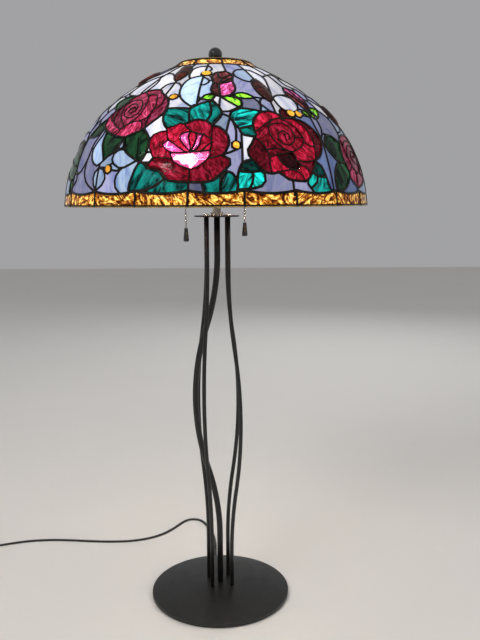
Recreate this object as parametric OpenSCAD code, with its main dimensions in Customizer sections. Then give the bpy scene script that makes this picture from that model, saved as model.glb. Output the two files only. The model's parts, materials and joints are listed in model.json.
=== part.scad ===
// Stained glass table lamp: a leaded glass dome shade on a stem of five bowed rods.
// Millimetres. The origin is on the lamp's axis, on the surface that the base stands on,
// +Z is up and the lamp's front faces -Y. Places on the shade are given as an azimuth in
// degrees, 0 at the front and positive to the right, and a distance in millimetres along
// the glass, measured up from the shade's rim.

/* [Base] */
// Diameter of the round base
base_d = 226; // [216:1:236]
// Height of the base's crown above the table
base_h = 19; // [18:0.5:21]
// Height of the base's lip
base_lip = 6.5; // [6.5:0.5:8]
// Thickness of the pressed steel base
base_t = 2.5; // [2:0.5:3]

/* [Stem] */
// Diameter of the four thin rods
thin_rod_d = 6.35; // [6:0.05:7]
// Diameter of the centre tube, which carries the wire
tube_d = 9.5; // [9:0.1:10.5]
// Distance of the thin rods' feet from the axis
foot_r = 23.2; // [21:0.2:25]
// Turn of the rods' heads against their feet, clockwise seen from above
stem_twist = 7.5; // [0:0.5:10]
// How far a thin rod bows outwards
thin_bow = 20; // [16:1:26]
// How far the centre tube bows to the left
tube_bow = 37; // [30:1:42]
// Diameter of the plate on top of the rods
plate_d = 70; // [66:1:76]
// Height of the plate's top face
plate_z = 624; // [620:1:626]
// Diameter of the pipe that stands on the plate
pipe_d = 12.7; // [12:0.1:13]

/* [Shade] */
// Outer diameter of the shade at its rim
shade_d = 457; // [450:1:462]
// Height of the shade's rim
rim_z = 640; // [638:1:642]
// Height of the amber border band
border_h = 15; // [14:0.5:16]
// Number of amber border pieces
border_count = 20; // [20]
// Thickness of the glass
glass_t = 3; // [2.6:0.1:3.2]
// Width of the lead between two pieces of glass
lead_w = 2.6; // [2.2:0.1:3]
// How far the lead stands proud of the glass
lead_proud = 0.6; // [0.4:0.1:0.8]

/* [Lights] */
// Diameter of the bulbs
bulb_d = 50; // [45:1:52]
// Lean of the lamp holders from upright
holder_lean = 45; // [42:1:48]

/* [Cord] */
// Width of the flat cord
cord_w = 5.4; // [5:0.1:6]
// Thickness of the flat cord
cord_t = 2.9; // [2.6:0.1:3.2]

/* [Hidden] */
$fn = 96;
gap = 0.3;          // between pieces that turn or slide past each other
fit = 0.05;         // between pieces that are fastened together
black = [0.07, 0.07, 0.075];
brass = [0.62, 0.47, 0.22];
nickel = [0.62, 0.61, 0.58];

// --- base ---
pad_t = 1.5;
pad_r = base_d / 2 - 6;
rise = base_h - base_lip;
crown_r = (pow(base_d / 2, 2) + rise * rise) / (2 * rise);
weight_r = 84;
weight_top = 8;
hub_r = 36;
hub_top = 13.5;
nut_h = 4;
nut_d = 12;
washer_d = 13;
well_d = 14.5;
well_top = 7.2;
foot_z = pad_t + 0.6;

// --- stem ---
// For each thin rod: the direction of its foot from the axis, the way it bows, its peak's height
thin_rods = [[147.3, 140, 326], [237.3, 247, 330], [57.3, 29, 320], [-32.7, -33, 298]];
thin_half = 230;    // half the length of a thin rod's bowed stretch
tube_peak = 333;
tube_half = 232;
tube_bore_d = 6.6;
plate_t = 2;
cluster_z = 656;
cluster_r = 17;
riser_d = 9.5;

// --- shade: the glass follows two arcs that meet smoothly ---
rim_r = shade_d / 2;
border_r = rim_r - 2;
border_z = rim_z + border_h;
low_slope = 82.5;   // steepness of the glass just above the border
mid_slope = 37.5;   // where the shoulder arc meets the crown arc
top_slope = 23.5;   // at the crown ring
low_arc = 205;
top_arc = 385;
low_c = [border_r - low_arc * sin(low_slope), border_z - low_arc * cos(low_slope)];
mid = low_c + low_arc * [sin(mid_slope), cos(mid_slope)];
top_c = mid - top_arc * [sin(mid_slope), cos(mid_slope)];
top = top_c + top_arc * [sin(top_slope), cos(top_slope)];
mm_per_deg = PI / 180;
low_len = low_arc * (low_slope - mid_slope) * mm_per_deg;
crown_w = 15;       // the amber crown pieces, from the dome up to the crown ring
crown_slope = 34;
crown_end = top + crown_w * [-cos(crown_slope), sin(crown_slope)];
first_lead = -7.5;  // azimuth of one of the border's lead bars
piece_deg = 360 / border_count;
lead_deg = 0.72;    // angle that a lead bar takes at the border
// Courses of ground glass: slope at the bottom and at the top, number of pieces, the angle
// that a lead bar takes between two pieces, and half a lead's width as an angle of the arc
courses = [
    [82.5, 67.5, 20, 0.72, 0.36], [67.5, 52.5, 20, 0.76, 0.36], [52.5, 37.5, 20, 0.9, 0.36],
    [37.5, 30.5, 10, 1.15, 0.19], [30.5, 23.5, 10, 1.7, 0.19]
];
top_len = top_arc * (mid_slope - top_slope) * mm_per_deg;
petals = 6;
heart_share = 0.38;
jewel_bulge = 5;
half_lead = lead_w / 2;

// Roses: azimuth, distance up the glass, radius
roses = [[-8, 73, 47], [28, 84, 50], [-38, 138, 44], [68, 63, 40]];
// Leaves: azimuth, distance up the glass, length, width, turn from upright
teal_leaves = [
    [-15, 127, 38, 22, 12], [-1, 133, 36, 20, -8], [12.5, 134, 34, 20, 22], [-24, 32, 36, 22, -20],
    [2, 28, 22, 16, 50], [15.5, 30, 28, 20, -38], [42, 34, 34, 20, 22]
];
green_leaves = [
    [-44, 76, 36, 22, 15], [-29.5, 81, 40, 24, -18], [50.5, 84, 38, 24, 14], [51, 38, 36, 20, -14],
    [-58, 112, 40, 24, -30], [-55, 168, 38, 22, 24], [-75, 72, 52, 34, 10]
];
// Rosebuds: the same
buds = [[5.5, 196, 62, 26, -4], [47, 168, 42, 20, 12]];
// Raised jewels: azimuth, distance up the glass, length, width, turn from upright
jewels = [[-24, 233, 48, 16, -16], [26, 186, 40, 15, 6], [-66, 228, 46, 15, 20], [70, 140, 40, 15, 14]];
// Round cabochons: azimuth, distance up the glass, radius
cabochons = [[8.5, 79, 5], [-38, 49, 4.5], [-18.5, 160, 4.5], [-5, 224, 4.5], [34, 143, 4], [-61, 42, 4]];

flat_motifs = concat(teal_leaves, green_leaves, buds, jewels);

// --- lights ---
holder_r = 14.4;
holder_from = 23;
cap_len = 5;
shell_len = 24;
shell_t = 0.7;
screw_r = 12.8;
bulb_c = 79;        // from the cluster's middle to the bulb's middle, along the holder
pull_x = [-48, 43];
pull_top = [667, 671];
knob_z = [584, 592];
knob_h = 21;
bead_d = 3.2;
bead_pitch = 4;

// --- cord: the route's points, from the base's rear edge to the coil ---
route = [
    [-14, 145, 3.9], [-14, 157, 3.5], [-15, 171, 2.4], [-17, 189, 1.7], [-21, 210, 1.6],
    [-27, 231, 1.6], [-34, 250, 1.6], [-42, 266, 1.6], [-53, 277, 1.6], [-67, 279, 1.6],
    [-79, 271, 1.6], [-89, 255, 1.6], [-101, 234, 1.6], [-120, 210, 1.6], [-147, 192, 1.6],
    [-180, 182, 1.6], [-216, 180, 1.6], [-252, 182, 1.6], [-290, 186, 1.6], [-330, 188, 1.6],
    [-370, 184, 1.6], [-407, 173, 1.6], [-440, 160, 1.6], [-468, 153, 1.6]
];
steps_per_point = 3;
coil_at = [-482, 184];
coil_inner = 24;
coil_outer = 36.5;
coil_h = 12;
plug_x = -516;
plug_z = 7;
plug_tail = [196, 218];     // where the plug's tapered tail starts and ends
plug_body = [35.4, 36, 13.7];
pin_d = 4;
pin_len = 19;
pin_spacing = 18.6;

// ---------------------------------------------------------------- base

module dome_2d(r, z_centre, x_max) {
    intersection() {
        translate([0, z_centre]) circle(r = r, $fn = 360);
        square([x_max, base_h + 5]);
    }
}

module base_pad() {
    color("black") cylinder(r = pad_r, h = pad_t);
}

module base_disc() {
    color(black) difference() {
        rotate_extrude() {
            difference() {
                dome_2d(crown_r, base_h - crown_r, base_d / 2);
                dome_2d(crown_r - base_t, base_h - crown_r, base_d / 2 - base_t);
                translate([0, -1]) square([base_d / 2 - base_t, base_lip - base_t + 1]);
                square([base_d, pad_t]);
            }
        }
        for (p = thin_rods) translate(spot(foot_r, p[0])) cylinder(d = thin_rod_d + 2 * fit, h = 40);
        cylinder(d = tube_d + 2 * fit, h = 40);
        translate([route[0][0], base_d / 2 - 12, route[0][2]]) rotate([-90, 0, 0])
            linear_extrude(30) flat_round(8.4 + 2 * fit, 4.6 + 2 * fit);
    }
}

// A rectangle with round ends, as wide as w
module flat_round(w, h) {
    square([w - h, h], center = true);
    for (s = [-1, 1]) translate([s * (w - h) / 2, 0]) circle(d = h, $fn = 48);
}

module base_weight() {
    color([0.25, 0.25, 0.26]) difference() {
        union() {
            translate([0, 0, pad_t]) cylinder(r = weight_r, h = weight_top - pad_t);
            translate([0, 0, pad_t]) cylinder(r = hub_r, h = hub_top - pad_t);
        }
        for (p = thin_rods) translate(spot(foot_r, p[0])) {
            cylinder(d = thin_rod_d + 2 * fit, h = 40);
            cylinder(d = well_d, h = well_top);
        }
        cylinder(d = tube_d + 2 * fit, h = 40);
        cylinder(d = well_d + 3, h = well_top);
        // The wire's way from the rear edge to the centre tube
        translate([-16, 0, 0]) cube([6, weight_r + 5, 5.2]);
        translate([-16, 0, 0]) cube([16, 6, 5.2]);
    }
}

module hex_nut(d, bore, h) {
    difference() {
        cylinder(d = d, h = h, $fn = 6);
        translate([0, 0, -1]) cylinder(d = bore + 2 * fit, h = h + 2);
    }
}

module rod_nuts() {
    color(nickel) {
        for (p = thin_rods) translate([each spot(foot_r, p[0]), foot_z]) hex_nut(nut_d, thin_rod_d, nut_h);
        translate([0, 0, foot_z]) hex_nut(16, tube_d, nut_h);
    }
}

module washer(d, bore, h) {
    difference() {
        cylinder(d = d, h = h);
        translate([0, 0, -1]) cylinder(d = bore + 2 * fit, h = h + 2);
    }
}

module rod_washers() {
    color(nickel) {
        for (p = thin_rods) translate([each spot(foot_r, p[0]), foot_z + nut_h])
            washer(washer_d, thin_rod_d, well_top - foot_z - nut_h);
        translate([0, 0, foot_z + nut_h]) washer(17, tube_d, well_top - foot_z - nut_h);
    }
}

// The bushing in the base's rear edge, with the tapered sleeve that the cord leaves
module cord_bushing() {
    end = route[0];
    edge = base_d / 2 - 4;
    color(black) {
        translate([end[0], edge, end[2]]) rotate([-90, 0, 0]) linear_extrude(6) flat_round(8.4, 4.6);
        translate([end[0], edge + 6, end[2]]) rotate([-90, 0, 0])
            linear_extrude(end[1] - edge - 6, scale = 0.78) flat_round(8.4, 4.6, $fn = 32);
        translate([end[0], edge - 4, end[2]]) rotate([-90, 0, 0])
            linear_extrude(4) flat_round(8.4, 3.6);
    }
}

// ---------------------------------------------------------------- stem

// The point at that distance and direction from the axis
function spot(r, a) = [r * cos(a), r * sin(a)];

// Points down the middle of a bowed bar in the XZ plane, as [x, z]: straight, four equal arcs, straight
function bow_line(bow, peak, half, z0, z1) = let (
        lean = 2 * atan(bow / half), arc = half / (2 * sin(lean)), n = 5,
        rise = [for (k = [0 : n]) let (a = lean * k / n) [arc * (1 - cos(a)), arc * sin(a)]],
        up = concat(rise, [for (k = [n - 1 : -1 : 0]) [bow - rise[k][0], half - rise[k][1]]])
    )
    concat(
        [[0, z0]],
        [for (q = up) [q[0], peak - half + q[1]]],
        [for (k = [len(up) - 2 : -1 : 0]) [up[k][0], peak + half - up[k][1]]],
        [[0, z1]]
    );

// The same points in space; over the bowed stretch the bar also drifts to one side
function bow_path(bow, peak, half, z0, z1, drift) = [
        for (q = bow_line(bow, peak, half, z0, z1))
            let (done = min(1, max(0, (q[1] - peak + half) / (2 * half))))
            [q[0] + drift[0] * done, drift[1] * done, q[1]]
    ];

// A round bar along those points
module bowed_bar(d, bow, peak, half, z0, z1, drift = [0, 0]) {
    path = bow_path(bow, peak, half, z0, z1, drift);
    last = len(path) - 1;
    n = 24;
    rings = [for (j = [0 : last]) let (
            v = unit(path[min(j + 1, last)] - path[max(j - 1, 0)]), side = [v[2], 0, -v[0]]
        ) [for (k = [0 : n - 1]) path[j] + d / 2 * (cos(k * 360 / n) * side + [0, sin(k * 360 / n), 0])]];
    tube_skin(rings, n);
}

// A closed skin over rings of n points, which run anticlockwise seen from the far end
module tube_skin(rings, n) {
    last = len(rings) - 1;
    polyhedron(
        points = [for (ring = rings) each ring],
        faces = concat(
            [[for (k = [0 : n - 1]) k]],
            [for (j = [0 : last - 1], k = [0 : n - 1])
                [j * n + k, (j + 1) * n + k, (j + 1) * n + (k + 1) % n, j * n + (k + 1) % n]],
            [[for (k = [n - 1 : -1 : 0]) last * n + k]]
        )
    );
}

module thin_rod(i) {
    p = thin_rods[i];
    way = p[1];
    gone = spot(foot_r, p[0] - stem_twist) - spot(foot_r, p[0]);
    drift = [gone[0] * cos(way) + gone[1] * sin(way), gone[1] * cos(way) - gone[0] * sin(way)];
    color(black) translate(spot(foot_r, p[0])) rotate([0, 0, way])
        bowed_bar(thin_rod_d, thin_bow, p[2], thin_half, foot_z, plate_z - plate_t, drift);
}

module rod_back_left() thin_rod(0);
module rod_front_left() thin_rod(1);
module rod_back_right() thin_rod(2);
module rod_front_right() thin_rod(3);

module centre_tube() {
    color(black) rotate([0, 0, 180]) difference() {
        bowed_bar(tube_d, tube_bow, tube_peak, tube_half, foot_z, plate_z - plate_t);
        bowed_bar(tube_bore_d, tube_bow, tube_peak, tube_half, foot_z - 1, plate_z);
    }
}

module tube_wire() {
    color([0.15, 0.12, 0.1]) rotate([0, 0, 180])
        bowed_bar(4.6, tube_bow, tube_peak, tube_half, foot_z + 0.5, plate_z - plate_t - 0.5);
}

module top_plate() {
    color(black) translate([0, 0, plate_z - plate_t]) difference() {
        cylinder(d = plate_d, h = plate_t);
        translate([0, 0, -1]) cylinder(d = tube_bore_d, h = plate_t + 2);
    }
}

module plate_screws() {
    color(nickel) for (p = thin_rods)
        translate([each spot(foot_r, p[0] - stem_twist), plate_z]) intersection() {
            cylinder(d = 8, h = 2.6);
            translate([0, 0, -3]) sphere(d = 11.2);
        }
}

module stem_collar() {
    color(nickel) translate([0, 0, plate_z]) difference() {
        cylinder(d = 20, h = 5);
        translate([0, 0, -1]) cylinder(d = pipe_d + 2 * fit, h = 7);
    }
}

module stem_pipe() {
    color(nickel) translate([0, 0, plate_z]) difference() {
        cylinder(d = pipe_d, h = cluster_z - 12 - plate_z);
        translate([0, 0, -1]) cylinder(d = pipe_d - 3, h = 60);
    }
}

module along_holder(side) {
    translate([0, 0, cluster_z]) rotate([0, side * holder_lean, 0]) children();
}

// The body that the pipe, the two lamp holders and the riser screw into
module cluster_body() {
    color(nickel) difference() {
        union() {
            translate([0, 0, cluster_z - 12]) cylinder(r = cluster_r - 4, h = 24);
            translate([0, 0, cluster_z - 6]) cylinder(r = cluster_r - 2, h = 12);
            for (s = [-1, 1]) along_holder(s) cylinder(d = 12, h = holder_from);
        }
        translate([0, 0, cluster_z - 13]) cylinder(d = 8, h = 20);
    }
}

module shade_riser() {
    color(nickel) translate([0, 0, cluster_z + 12])
        cylinder(d = riser_d, h = crown_end[1] + 8 - cluster_z - 12);
}

module riser_nut() {
    color(nickel) translate([0, 0, crown_end[1] - 7.5]) hex_nut(18, riser_d, 5);
}

// ---------------------------------------------------------------- lamp holders and bulbs

module holder_cap(side) {
    color(brass) along_holder(side) translate([0, 0, holder_from]) difference() {
        cylinder(r = holder_r + 0.6, h = cap_len);
        translate([0, 0, 2]) cylinder(r = holder_r - 1, h = cap_len);
        translate([0, 0, -1]) cylinder(d = 7, h = 5);
    }
}

module holder_shell(side) {
    color(brass) difference() {
        along_holder(side) rotate([0, 0, 90]) translate([0, 0, holder_from + cap_len]) difference() {
            cylinder(r = holder_r, h = shell_len);
            translate([0, 0, -1]) cylinder(r = holder_r - shell_t, h = shell_len + 2);
        }
        spout_arm(side, 7 + 2 * fit, 8);
    }
}

module holder_liner(side) {
    color([0.9, 0.88, 0.8]) difference() {
        along_holder(side) rotate([0, 0, 90]) translate([0, 0, holder_from + 2]) difference() {
            cylinder(r = holder_r - shell_t - 0.3, h = cap_len + shell_len - 2.5);
            translate([0, 0, 7]) cylinder(r = screw_r + gap, h = 60);
        }
        spout_arm(side, 7.4, 8);
    }
}

// The round arm that carries a switch's spout, square to the holder and towards the table
module spout_arm(side, d, len) {
    along_holder(side) translate([0, 0, holder_from + cap_len + 12]) rotate([0, side * 90, 0])
        translate([0, 0, screw_r + gap + 0.6]) cylinder(d = d, h = len);
}

module switch_spout(side) {
    i = (side + 1) / 2;
    color(brass) difference() {
        union() {
            intersection() {
                spout_arm(side, 7, 14);
                translate([-100, -20, pull_top[i] - 6]) cube([200, 40, 40]);
            }
            translate([pull_x[i], 0, pull_top[i] - 14]) cylinder(d = 8.4, h = 14);
            translate([pull_x[i], 0, pull_top[i] - 16]) cylinder(d = 6.6, h = 4);
        }
        translate([pull_x[i], 0, pull_top[i] - 17]) cylinder(d = bead_d + 1.2, h = 14);
    }
}

// A ball chain that hangs from inside the spout to the knob
module pull_chain(side) {
    i = (side + 1) / 2;
    bottom = knob_z[i] + knob_h;
    length = pull_top[i] - 4 - bottom;
    beads = floor(length / bead_pitch);
    color(nickel) translate([pull_x[i], 0, bottom]) {
        cylinder(d = 1.2, h = length - 1, $fn = 24);
        for (k = [0 : beads - 1]) translate([0, 0, (k + 0.5) * bead_pitch]) sphere(d = bead_d, $fn = 32);
    }
}

module pull_knob(side) {
    i = (side + 1) / 2;
    color(black) translate([pull_x[i], 0, knob_z[i]]) rotate_extrude() polygon([
        [0, 0], [3.6, 0], [4.4, 1], [4.4, 4], [3.1, 16], [2.9, 20], [2.2, knob_h], [0, knob_h]
    ]);
}

// A round bulb: glass from its neck up, on a screw base
module bulb_glass(side) {
    neck = holder_from + cap_len + shell_len + 1.5;
    r = bulb_d / 2;
    color([1, 0.97, 0.88]) along_holder(side) difference() {
        union() {
            translate([0, 0, bulb_c]) sphere(r = r);
            translate([0, 0, neck]) cylinder(r = screw_r, h = bulb_c - neck - 12);
        }
        translate([0, 0, bulb_c]) sphere(r = r - 1);
        translate([0, 0, neck - 1]) cylinder(r = screw_r - 1, h = bulb_c - neck - 12);
    }
}

module bulb_base(side) {
    bottom = holder_from + 10;
    neck = holder_from + cap_len + shell_len + 1.5;
    color(nickel) along_holder(side) {
        translate([0, 0, bottom]) cylinder(r1 = 6, r2 = screw_r - 1, h = 3);
        translate([0, 0, bottom + 3]) cylinder(r = screw_r, h = neck - bottom - 3);
    }
}

module holder_cap_left() holder_cap(-1);
module holder_cap_right() holder_cap(1);
module holder_shell_left() holder_shell(-1);
module holder_shell_right() holder_shell(1);
module holder_liner_left() holder_liner(-1);
module holder_liner_right() holder_liner(1);
module switch_spout_left() switch_spout(-1);
module switch_spout_right() switch_spout(1);
module pull_chain_left() pull_chain(-1);
module pull_chain_right() pull_chain(1);
module pull_knob_left() pull_knob(-1);
module pull_knob_right() pull_knob(1);
module bulb_glass_left() bulb_glass(-1);
module bulb_glass_right() bulb_glass(1);
module bulb_base_left() bulb_base(-1);
module bulb_base_right() bulb_base(1);

// ---------------------------------------------------------------- shade fittings

module shade_rim() {
    color(brass) rotate_extrude() translate([rim_r - 1.8, rim_z - 0.2]) circle(r = 1.8, $fn = 32);
}

module crown_ring() {
    color(brass) rotate_extrude()
        translate([crown_end[0] - 1.2, crown_end[1] - 0.3]) circle(r = 2, $fn = 32);
}

module vented_cap() {
    r = crown_end[0] - 3.6;
    color(brass) translate([0, 0, crown_end[1] - 2.5]) difference() {
        cylinder(r = r, h = 1.5);
        translate([0, 0, -1]) cylinder(d = riser_d + 2 * gap, h = 4);
        for (k = [0 : 11]) rotate([0, 0, k * 30]) translate([r - 16, 0, -1]) cylinder(d = 9, h = 4);
    }
}

module cap_washer() {
    color(brass) translate([0, 0, crown_end[1] - 1]) difference() {
        cylinder(d = 22, h = 1.2);
        translate([0, 0, -1]) cylinder(d = riser_d + 2 * gap, h = 4);
    }
}

module finial() {
    seat = crown_end[1] + 0.5;
    ball_r = 10.5;
    color(black) difference() {
        union() {
            translate([0, 0, seat]) cylinder(d = 14, h = 5);
            translate([0, 0, seat + 4 + ball_r]) sphere(r = ball_r);
        }
        translate([0, 0, seat - 1]) cylinder(d = riser_d + 2 * fit, h = 10);
    }
}

// ---------------------------------------------------------------- shade glass

// Radius, height and slope of the outer glass surface at a distance up from the rim
function dome_at(s) = let (u = s - border_h)
    u < low_len
    ? let (a = low_slope - u / low_arc / mm_per_deg)
        [low_c[0] + low_arc * sin(a), low_c[1] + low_arc * cos(a), a]
    : let (a = mid_slope - (u - low_len) / top_arc / mm_per_deg)
        [top_c[0] + top_arc * sin(a), top_c[1] + top_arc * cos(a), a];

// Puts its children on the glass, with Y up the glass and Z out of it, here and opposite
module on_dome(azimuth, s, turn) {
    p = dome_at(s);
    for (half = [0, 180]) rotate([0, 0, azimuth + half]) translate([0, -p[0], p[1]])
        rotate([p[2], 0, 0]) rotate([0, 0, turn]) children();
}

// The part of an arc's band between two slopes, from inner to outer beside the glass
module band_2d(centre, arc, a0, a1, inner, outer) {
    reach = arc + 30;
    translate(centre) intersection() {
        difference() {
            circle(r = arc + outer, $fn = 360);
            circle(r = arc - inner, $fn = 360);
        }
        polygon([
            [0, 0], reach * [sin(a0), cos(a0)], reach * [sin((a0 + a1) / 2), cos((a0 + a1) / 2)],
            reach * [sin(a1), cos(a1)]
        ]);
    }
}

module dome_2d_glass(a0, a1, inner, outer) {
    if (a0 > mid_slope) band_2d(low_c, low_arc, a0, a1, inner, outer);
    else band_2d(top_c, top_arc, a0, a1, inner, outer);
}

// The whole dome as one shell, from the border to the crown
module dome_shell(inner, outer) {
    rotate_extrude() {
        dome_2d_glass(low_slope, mid_slope, inner, outer);
        dome_2d_glass(mid_slope, top_slope, inner, outer);
    }
}

module lens_2d(length, width, grow) {
    r = (length * length + width * width) / (4 * width);
    intersection_for (s = [-1, 1]) translate([s * (r - width / 2), 0]) circle(r = r + grow, $fn = 180);
}

module rose_plug(i, grow) {
    q = roses[i];
    on_dome(q[0], q[1], 0) linear_extrude(44, center = true) circle(r = q[2] + grow, $fn = 96);
}

module leaf_plug(q, grow) {
    on_dome(q[0], q[1], -q[4]) linear_extrude(30, center = true)
        lens_2d(q[2], q[3], grow);
}

module cabochon_plug(q, grow) {
    on_dome(q[0], q[1], 0) cylinder(r = q[2] + grow, h = 20, center = true, $fn = 48);
}

// Whether a motif that reaches that far from s comes into course c
function near(c, s, reach) = let (
        low = border_h + (c < 3 ? c * low_len / 3 : low_len + (c - 3) * top_len / 2),
        high = low + (c < 3 ? low_len / 3 : top_len / 2)
    )
    s + reach > low - 4 && s - reach < high + 4;

// The motifs that come into course c, as plugs to cut away
module motif_plugs(c, grow) {
    for (i = [0 : len(roses) - 1]) if (near(c, roses[i][1], roses[i][2])) rose_plug(i, grow);
    for (q = flat_motifs) if (near(c, q[1], q[2] / 2)) leaf_plug(q, grow);
    for (q = cabochons) if (near(c, q[1], q[2])) cabochon_plug(q, grow);
}

module border_glass() {
    color([0.8, 0.5, 0.1]) for (k = [0 : border_count - 1])
        rotate([0, 0, first_lead - 90 + (k + 0.5) * piece_deg])
            rotate([0, 0, (lead_deg - piece_deg) / 2]) rotate_extrude(angle = piece_deg - lead_deg)
                polygon([
                    [rim_r - 0.4, rim_z + 1.6], [border_r - 0.1, border_z - 1.2],
                    [border_r - 0.1 - glass_t, border_z - 1.2], [rim_r - 0.4 - glass_t, rim_z + 1.6]
                ]);
}

module crown_glass() {
    out = glass_t * [-sin(crown_slope), -cos(crown_slope)];
    low = top + 1.3 * [-cos(crown_slope), sin(crown_slope)];
    high = top + (crown_w - 2.4) * [-cos(crown_slope), sin(crown_slope)];
    color([0.85, 0.6, 0.2]) for (k = [0 : 9]) rotate([0, 0, first_lead + k * 36 - 90 + 1])
        rotate_extrude(angle = 34) polygon([low, high, high + out, low + out]);
}

module ground_course(c) {
    q = courses[c];
    n = q[2];
    color([0.78, 0.8, 0.9]) difference() {
        for (k = [0 : n - 1]) rotate([0, 0, first_lead - 90 + k * 360 / n + q[3] / 2])
            rotate_extrude(angle = 360 / n - q[3])
                dome_2d_glass(q[0] - q[4], q[1] + q[4], glass_t, 0);
        motif_plugs(c, half_lead);
    }
}

module ground_glass_1() ground_course(0);
module ground_glass_2() ground_course(1);
module ground_glass_3() ground_course(2);
module ground_glass_4() ground_course(3);
module ground_glass_5() ground_course(4);

// A rose: a heart and a ring of petals, with lead between them
module rose_glass(i) {
    q = roses[i];
    heart = q[2] * heart_share;
    intersection() {
        dome_shell(glass_t, 0);
        on_dome(q[0], q[1], 0) {
            cylinder(r = heart - half_lead, h = 44, center = true);
            for (k = [0 : petals - 1]) rotate([0, 0, k * 360 / petals]) intersection() {
                difference() {
                    cylinder(r = q[2] - half_lead, h = 44, center = true);
                    cylinder(r = heart + half_lead, h = 46, center = true);
                }
                linear_extrude(46, center = true) petal_2d();
            }
        }
    }
}

// One petal's wedge, kept half a lead's width inside its edges
module petal_2d() {
    a = 360 / petals;
    tip = half_lead / sin(a / 2) * [cos(a / 2), sin(a / 2)];
    polygon([tip, tip + [80, 0], tip + 100 * [cos(a / 2), sin(a / 2)], tip + 80 * [cos(a), sin(a)]]);
}

module rose_low_left() color([0.65, 0.05, 0.15]) rose_glass(0);
module rose_mid_right() color([0.7, 0.03, 0.15]) rose_glass(1);
module rose_high_left() color([0.75, 0.2, 0.4]) rose_glass(2);
module rose_low_right() color([0.5, 0.05, 0.15]) rose_glass(3);

module leaf_set(list) {
    difference() {
        intersection() {
            dome_shell(glass_t, 0);
            for (q = list) leaf_plug(q, -half_lead);
        }
        for (i = [0 : len(roses) - 1]) rose_plug(i, half_lead);
    }
}

module teal_leaf_glass() color([0.05, 0.55, 0.5]) leaf_set(teal_leaves);
module green_leaf_glass() color([0.05, 0.25, 0.12]) leaf_set(green_leaves);
module rosebud_glass() color([0.75, 0.2, 0.4]) leaf_set(buds);

// Pressed jewels stand out of the glass as low domes
module jewel_glass() {
    back = 70;
    color([0.3, 0.08, 0.03]) {
        for (q = jewels) intersection() {
            leaf_plug(q, -half_lead);
            on_dome(q[0], q[1], 0) translate([0, 0, jewel_bulge - back]) sphere(r = back);
            dome_shell(glass_t, jewel_bulge + 6);
        }
        for (q = cabochons) on_dome(q[0], q[1], 0) intersection() {
            translate([0, 0, -glass_t]) cylinder(r = q[2] - half_lead, h = 9, $fn = 48);
            translate([0, 0, -4]) sphere(r = 6);
        }
    }
}

// The lead seams stand proud of the glass: a ring above each course, and bars between pieces
module lead_lines() {
    color([0.1, 0.09, 0.08]) difference() {
        for (q = courses) {
            rotate_extrude() dome_2d_glass(q[1] + 1.9 * q[4], q[1], 0, lead_proud);
            for (k = [0 : q[2] - 1]) rotate([0, 0, first_lead - 90 + (k * 360 / q[2]) - q[3] / 2])
                rotate_extrude(angle = q[3])
                    dome_2d_glass(q[0] - 0.1, q[1] + 2.2 * q[4], 0, lead_proud);
        }
        for (q = jewels) leaf_plug(q, 0);
        for (q = cabochons) cabochon_plug(q, 0);
    }
}

// ---------------------------------------------------------------- cord

// A point on the smooth curve through the route's points, u counted in points
function curve_at(u) = let (
        n = len(route) - 1, i = min(floor(u), n - 1), t = u - i,
        a = route[max(i - 1, 0)], b = route[i], c = route[i + 1], d = route[min(i + 2, n)]
    )
    0.5 * (2 * b + (c - a) * t + (2 * a - 5 * b + 4 * c - d) * t * t
        + (3 * b - a - 3 * c + d) * t * t * t);

function unit(v) = v / norm(v);

// The eight corners of the cord's cross-section where the curve runs along v
function ring_at(p, v) = let (side = unit(cross(v, [0, 0, 1])), up = unit(cross(side, v)))
    [for (k = [0 : 7]) let (a = 22.5 + k * 45)
        p + side * cord_w / 2 * cos(a) / cos(22.5) + up * cord_t / 2 * sin(a) / cos(22.5)];

module cord() {
    last = (len(route) - 1) * steps_per_point;
    rings = [for (k = [0 : last]) let (
            u = k / steps_per_point, p = curve_at(u),
            v = curve_at(min(u + 0.02, len(route) - 1)) - curve_at(max(u - 0.02, 0))
        ) ring_at(p, v)];
    color("black") tube_skin(rings, 8);
}

module cord_coil() {
    edge = 3;
    color("black") translate([coil_at[0], coil_at[1], 0]) rotate_extrude() polygon([
        [coil_inner, edge], [coil_inner + edge, 0], [coil_outer - edge, 0], [coil_outer, edge],
        [coil_outer, coil_h - edge], [coil_outer - edge, coil_h], [coil_inner + edge, coil_h],
        [coil_inner, coil_h - edge]
    ]);
}

// A flat two-pin plug that lies beside the coil, with its tapered tail against it
module plug() {
    corner = 5;
    w = plug_body[0] / 2;
    color("black") {
        translate([plug_x, plug_tail[1], plug_z]) rotate([90, 0, 0])
            linear_extrude(plug_tail[1] - plug_tail[0], scale = 0.5) flat_round(13, 8.4, $fn = 32);
        difference() {
            translate([plug_x, plug_tail[1], plug_z - plug_body[2] / 2])
                linear_extrude(plug_body[2]) union() {
                    polygon([
                        [-7, 0], [7, 0], [w, 14], [w, plug_body[1] - corner],
                        [w - corner, plug_body[1]], [corner - w, plug_body[1]],
                        [-w, plug_body[1] - corner], [-w, 14]
                    ]);
                    for (s = [-1, 1]) translate([s * (w - corner), plug_body[1] - corner])
                        circle(r = corner);
                }
            for (s = [-1, 1]) pin(s, pin_d + 2 * fit, 8);
        }
    }
}

// One pin's cylinder, set that far into the plug's face
module pin(side, d, deep) {
    front = plug_tail[1] + plug_body[1];
    translate([plug_x + side * pin_spacing / 2, front - deep, plug_z]) rotate([-90, 0, 0])
        cylinder(d = d, h = pin_len + deep);
}

module plug_pins() {
    color(nickel) for (s = [-1, 1]) pin(s, pin_d, 7.5);
}

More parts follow.
